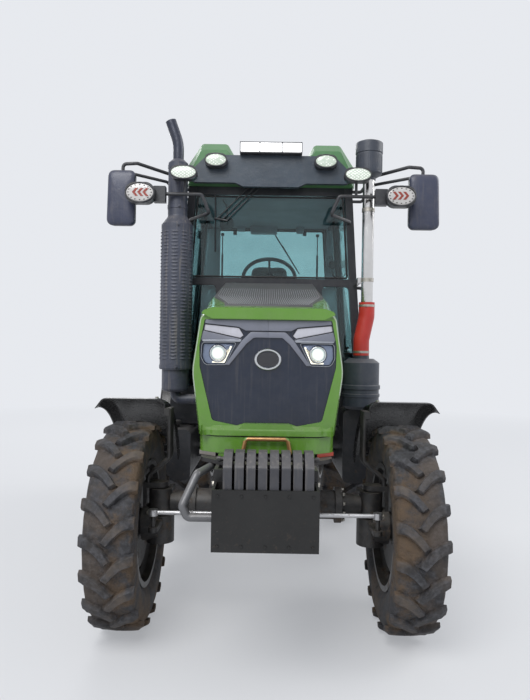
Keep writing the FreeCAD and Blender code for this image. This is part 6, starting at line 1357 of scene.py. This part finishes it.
repeated(switches, 11, step=(0.0235, 0, 0), centre=(-0.1175, 0, -0.063))
switches.data.transform(dash_stand)
ridden(switches, "chassis")
stalk_form = bmesh.new()
for side in (1, -1):
    bent_tube(stalk_form, [(side * 0.02, 0.170, 1.862), (side * 0.10, 0.180, 1.890), (side * 0.165, 0.175, 1.905)],
              0.0055, 0.03)
    bent_tube(stalk_form, [(side * 0.150, 0.1765, 1.901), (side * 0.186, 0.172, 1.911)], 0.0095, 0, 14)
fitted("column_stalks", stalk_form, moulded_black)
boss_form = bmesh.new()
lathe(boss_form, [(0.004, 0.0), (0.004, 0.046), (0.018, 0.050), (0.028, 0.044), (0.034, 0.026), (0.036, 0.0)],
      (0, 0, 0), "z", 40)
boss = finished("steering_boss", boss_form, seat_shell, 50)
boss.data.transform(Matrix.Translation((0, 0.250, 1.966)) @ Matrix.Rotation(math.radians(-40), 4, "X"))
ridden(boss, "steering_wheel")

# Controls: a moulded console on the right with four levers in slots, and three hung pedals with
# ribbed rubber pads.
console_form = bmesh.new()
console_side = rounded([(0.330, cab_floor_top), (0.330, 1.300, 0.04), (0.420, 1.385, 0.05), (0.700, 1.420, 0.04),
                        (0.780, 1.380, 0.04), (0.780, cab_floor_top)])
skin(console_form, [[(x, point.x, max(cab_floor_top, point.y)) for point in inset(console_side, distance)]
                    for x, distance in ((-0.310, 0.010), (-0.316, 0.003), (-0.326, 0.0), (-0.404, 0.0),
                                        (-0.412, 0.003), (-0.416, 0.010))])
fitted("lever_console", console_form, seat_shell)
lever_form = bmesh.new()
knob_pieces = {}
for y, x, tall, knob in ((0.400, -0.345, 0.150, "black"), (0.455, -0.385, 0.120, "orange"),
                         (0.540, -0.345, 0.130, "yellow"), (0.600, -0.385, 0.115, "black")):
    foot = 1.340 if y < 0.45 else 1.385
    bent_tube(lever_form, [(x, y, foot), (x, y - 0.010, foot + tall * 0.5), (x + 0.006, y - 0.026, foot + tall)],
              0.0055, 0.03)
    lathe(lever_form, [(foot - 0.01, 0.0), (foot + 0.026, 0.020), (foot + 0.034, 0.012), (foot + 0.050, 0.008),
                       (foot + 0.052, 0.0)], (x, y, 0), "z", 24)
    knob_form = knob_pieces.setdefault(knob, bmesh.new())
    lathe(knob_form, [(foot + tall - 0.012, 0.0), (foot + tall - 0.012, 0.010), (foot + tall + 0.012, 0.0165),
                      (foot + tall + 0.030, 0.0165), (foot + tall + 0.040, 0.011), (foot + tall + 0.043, 0.0)],
          (x + 0.006, y - 0.026, 0), "z", 24)
fitted("control_levers", lever_form, moulded_black)
for knob, colour, slot in (("black", (0.015, 0.015, 0.016), "black_plastic"),
                           ("orange", (0.60, 0.14, 0.02), "red_hose"), ("yellow", (0.62, 0.42, 0.03), "grey_plastic")):
    paint = weathered(f"knob_{knob}", colour, 0.35, dusty=0.1)
    fitted(f"lever_knobs_{knob}", knob_pieces[knob], paint, crease=50)
pedal_form = bmesh.new()
pedal_pad_form = bmesh.new()
for x in (0.130, -0.080, -0.160):
    bent_tube(pedal_form, [(x, 0.020, 1.420), (x, 0.110, 1.300), (x, 0.165, 1.130)], 0.011, 0.08, 12, 0.5)
    stand = Matrix.Translation((x, 0.172, 1.120)) @ Matrix.Rotation(math.radians(-58), 4, "X")
    outline = oblong(-0.034, 0.034, -0.036, 0.036, 0.010)
    skin(pedal_pad_form, [[stand @ Vector((point.x, point.y, z)) for point in inset(outline, distance)]
                          for z, distance in ((-0.010, 0.0), (0.004, 0.0), (0.008, 0.003))])
    for rib in (-0.024, -0.012, 0.0, 0.012, 0.024):
        skin(pedal_pad_form, [[stand @ Vector((side * 0.028, rib + lean, z)) for side, lean in
                               ((-1, -0.0025), (1, -0.0025), (1, 0.0025), (-1, 0.0025))] for z in (0.006, 0.0115)])
fitted("pedal_arms", pedal_form, frame_black)
fitted("pedal_pads", pedal_pad_form, seal_rubber)

# Rear lamps: a moulded block on the back of each rear fender, with a red, an amber and a clear chamber
# of plastic one above the other.
rear_red = lit("rear_red", (0.45, 0.012, 0.008), 0.25)
rear_amber = lit("rear_amber", (0.65, 0.20, 0.015), 0.25)
rear_clear = weathered("rear_clear", (0.55, 0.56, 0.58), 0.14, dusty=0.15, coat=0.6, grain=200.0)
for side, side_name in sides:
    for chamber, glow, low, high, slot in (("red", rear_red, 1.330, 1.365, "red_hose"),
                                           ("amber", rear_amber, 1.298, 1.328, "red_hose"),
                                           ("clear", rear_clear, 1.266, 1.296, "clear_lens")):
        chamber_form = bmesh.new()
        plate(chamber_form, oblong(0.705, 0.795, low, high, 0.005), -1.5115, -1.4985, 0.003)
        for vert in chamber_form.verts:
            vert.co.y = -vert.co.y
            vert.co.x *= side
        fitted(f"rear_lamp_{chamber}_{side_name}", chamber_form, glow)

# Tank, battery box and steps: a screw cap on the tank's neck, latches and bolts on the battery box's
# cover, and pressed studs on each step's tread.
cap_form = bmesh.new()
cap_place = (-0.610, -0.335, 0.915)
lathe(cap_form, [(-0.002, 0.0), (-0.002, 0.036), (0.014, 0.036), (0.016, 0.047), (0.040, 0.045), (0.044, 0.040),
                 (0.044, 0.0)], cap_place, "z", 40)
fitted("fuel_cap", cap_form, seat_shell)
grip_form = bmesh.new()
skin(grip_form, [[(0.045, -0.004, z), (0.049, -0.003, z), (0.049, 0.003, z), (0.045, 0.004, z)]
                 for z in (0.017, 0.039)])
grips = finished("fuel_cap_grips", grip_form, seat_shell)
repeated(grips, 18, turn=(0, 0, 20), centre=cap_place)
ridden(grips, "chassis")
latch_form = bmesh.new()
for y in (-0.300, 0.060):
    latch = oblong(y - 0.016, y + 0.016, 0.820, 0.880, 0.006)
    skin(latch_form, [[(x, point.x, point.y) for point in inset(latch, distance)]
                      for x, distance in ((0.7315, 0.0), (0.737, 0.0), (0.740, 0.002))])
    bent_tube(latch_form, [(0.737, y, 0.868), (0.746, y, 0.868), (0.746, y, 0.836), (0.740, y, 0.836)], 0.003, 0.005, 8)
for y in (-0.430, -0.120, 0.175):
    for z in (0.640, 0.780):
        hexagon_bolt(latch_form, (0.7318, y, z), 0.006, 0.007, (1, 0, 0))
fitted("battery_box_latches", latch_form, plated)
for side, side_name in sides:
    stud_form = bmesh.new()
    lathe(stud_form, [(-0.001, 0.0), (-0.001, 0.0068), (0.0022, 0.0055), (0.0022, 0.0038), (0.0, 0.0030), (0.0, 0.0)],
          (0, 0, 0), "z", 10)
    studs = finished(f"step_studs_{side_name}", stud_form, frame_black)
    repeated(studs, 5, step=(side * 0.026, 0, 0), centre=(side * 0.748, 0, 0))
    repeated(studs, 12, step=(0, 0.0262, 0), centre=(0, -0.129, 0))
    repeated(studs, 2, step=(0, 0, 0.260), centre=(0, 0, 0.423))
    ridden(studs, "chassis")

# Rear fittings: four hydraulic couplers with coloured dust caps, a pressed shield over the power
# take-off, and the rear window's handle and hinges.
transmission_back = 1.2598
coupler_form = bmesh.new()
cap_forms = (bmesh.new(), bmesh.new())
for index, x in enumerate((-0.125, -0.065, 0.065, 0.125)):
    lathe(coupler_form, [(0.0, 0.0), (0.0, 0.022), (0.006, 0.022), (0.006, 0.017), (0.030, 0.017), (0.032, 0.020),
                         (0.044, 0.020), (0.046, 0.0)], (x, transmission_back, 0.955), "y", 28)
    lathe(cap_forms[index % 2], [(0.045, 0.0), (0.045, 0.0195), (0.058, 0.0195), (0.062, 0.015), (0.063, 0.0)],
          (x, transmission_back, 0.955), "y", 28)
    bent_tube(cap_forms[index % 2], [(x, 1.308, 0.937), (x, 1.318, 0.918), (x, 1.280, 0.905), (x, 1.262, 0.925)],
              0.0025, 0.012, 8)
fitted("hydraulic_couplers", coupler_form, plated)
fitted("coupler_caps_red", cap_forms[0], red_rubber)
fitted("coupler_caps_black", cap_forms[1], seal_rubber)
shield_form = bmesh.new()
arch = [Vector((math.cos(math.radians(angle)), math.sin(math.radians(angle)))) for angle in range(0, 181, 10)]
pto_z = 0.640
outer, inner = ([Vector((reach, -0.040))] + [point * reach for point in arch] + [Vector((-reach, -0.040))]
                for reach in (0.070, 0.066))
outline = [Vector((point.x, point.y + pto_z)) for point in outer + inner[::-1]]
skin(shield_form, [upright(outline, y) for y in (transmission_back, 1.372)])
fitted("pto_shield", shield_form, frame_black)
pto_form = bmesh.new()
skin(pto_form, [[(-0.0042, y, 0.0160), (0.0042, y, 0.0160), (0.0034, y, 0.0212), (-0.0034, y, 0.0212)]
                for y in (1.285, 1.337)])
splines = finished("pto_splines", pto_form, worn_steel)
repeated(splines, 6, turn=(0, 60, 0), centre=(0, 0, pto_z))
ridden(splines, "chassis")
pane_form = bmesh.new()
bent_tube(pane_form, [(-0.055, 0.928, 1.550), (-0.055, 0.958, 1.550), (0.055, 0.958, 1.550), (0.055, 0.928, 1.550)],
          0.007, 0.014, 12)
for x in (-0.300, 0.300):
    bent_tube(pane_form, [(x - 0.035, 0.938, 2.466), (x + 0.035, 0.938, 2.466)], 0.009, 0, 14)
    skin(pane_form, [upright(oblong(x - 0.016, x + 0.016, 2.415, 2.466, 0.006, 0), y) for y in (0.9275, 0.9345)])
fitted("rear_window_fittings", pane_form, moulded_black)

# Fasteners: zinc plated hexagon bolts with washers where plates and castings meet, each set on its
# piece's own surface.
bpy.context.view_layer.update()


def bolted(form, node, start, way, radius=0.009, height=0.010):
    """Sets a bolt where a line first meets a solid of the frame."""
    hit, place, facing, _ = nodes[node].ray_cast(Vector(start), Vector(way))
    if hit:
        hexagon_bolt(form, place, radius, height, facing)


bolt_form = bmesh.new()
for side, side_name in sides:
    for y, z in ((-1.730, 0.720), (-1.730, 0.860), (-1.640, 0.790), (-1.420, 0.860), (-1.330, 0.800), (-0.980, 0.800),
                 (-0.880, 0.720), (-0.760, 0.800), (-0.640, 0.720)):
        bolted(bolt_form, "front_frame", (side * 0.6, y, z), (-side, 0, 0), 0.0105, 0.012)
    for z in (0.520, 0.620, 0.720, 0.820, 0.870):
        bolted(bolt_form, "transmission", (side * 0.208, 2.2, z), (0, -1, 0), 0.010, 0.012)
    for y in (0.990, 1.060, 1.215):
        bolted(bolt_form, "transmission", (side * 0.148, y, 1.5), (0, 0, -1))
    for y in (-0.150, 0.050, 0.250, 0.450, 0.650):
        bolted(bolt_form, "transmission", (side * 0.150, y, 0.2), (0, 0, 1))
    for z in (1.060, 1.200, 1.340, 1.460):
        bolted(bolt_form, "cab_frame", (side * 0.400, 1.5, z), (0, -1, 0), 0.008, 0.009)
    for y in (1.060, 1.180, 1.300):
        bolted(bolt_form, f"rear_fender_{side_name}", (side * 0.480, y, 2.0), (0, 0, -1), 0.008, 0.008)
fitted("chassis_bolts", bolt_form, plated)
for side, side_name in sides:
    bolt_form = bmesh.new()
    for x in (0.500, 0.600):
        for z in (0.590, 0.650):
            bolted(bolt_form, f"knuckle_{side_name}", (side * x, -1.7, z), (0, 1, 0))
    for y in (-1.225, -1.095):
        bolted(bolt_form, f"front_fender_{side_name}", (side * 0.590, y, 1.6), (0, 0, -1), 0.009, 0.008)
    fitted(f"knuckle_bolts_{side_name}", bolt_form, plated, f"knuckle_{side_name}")
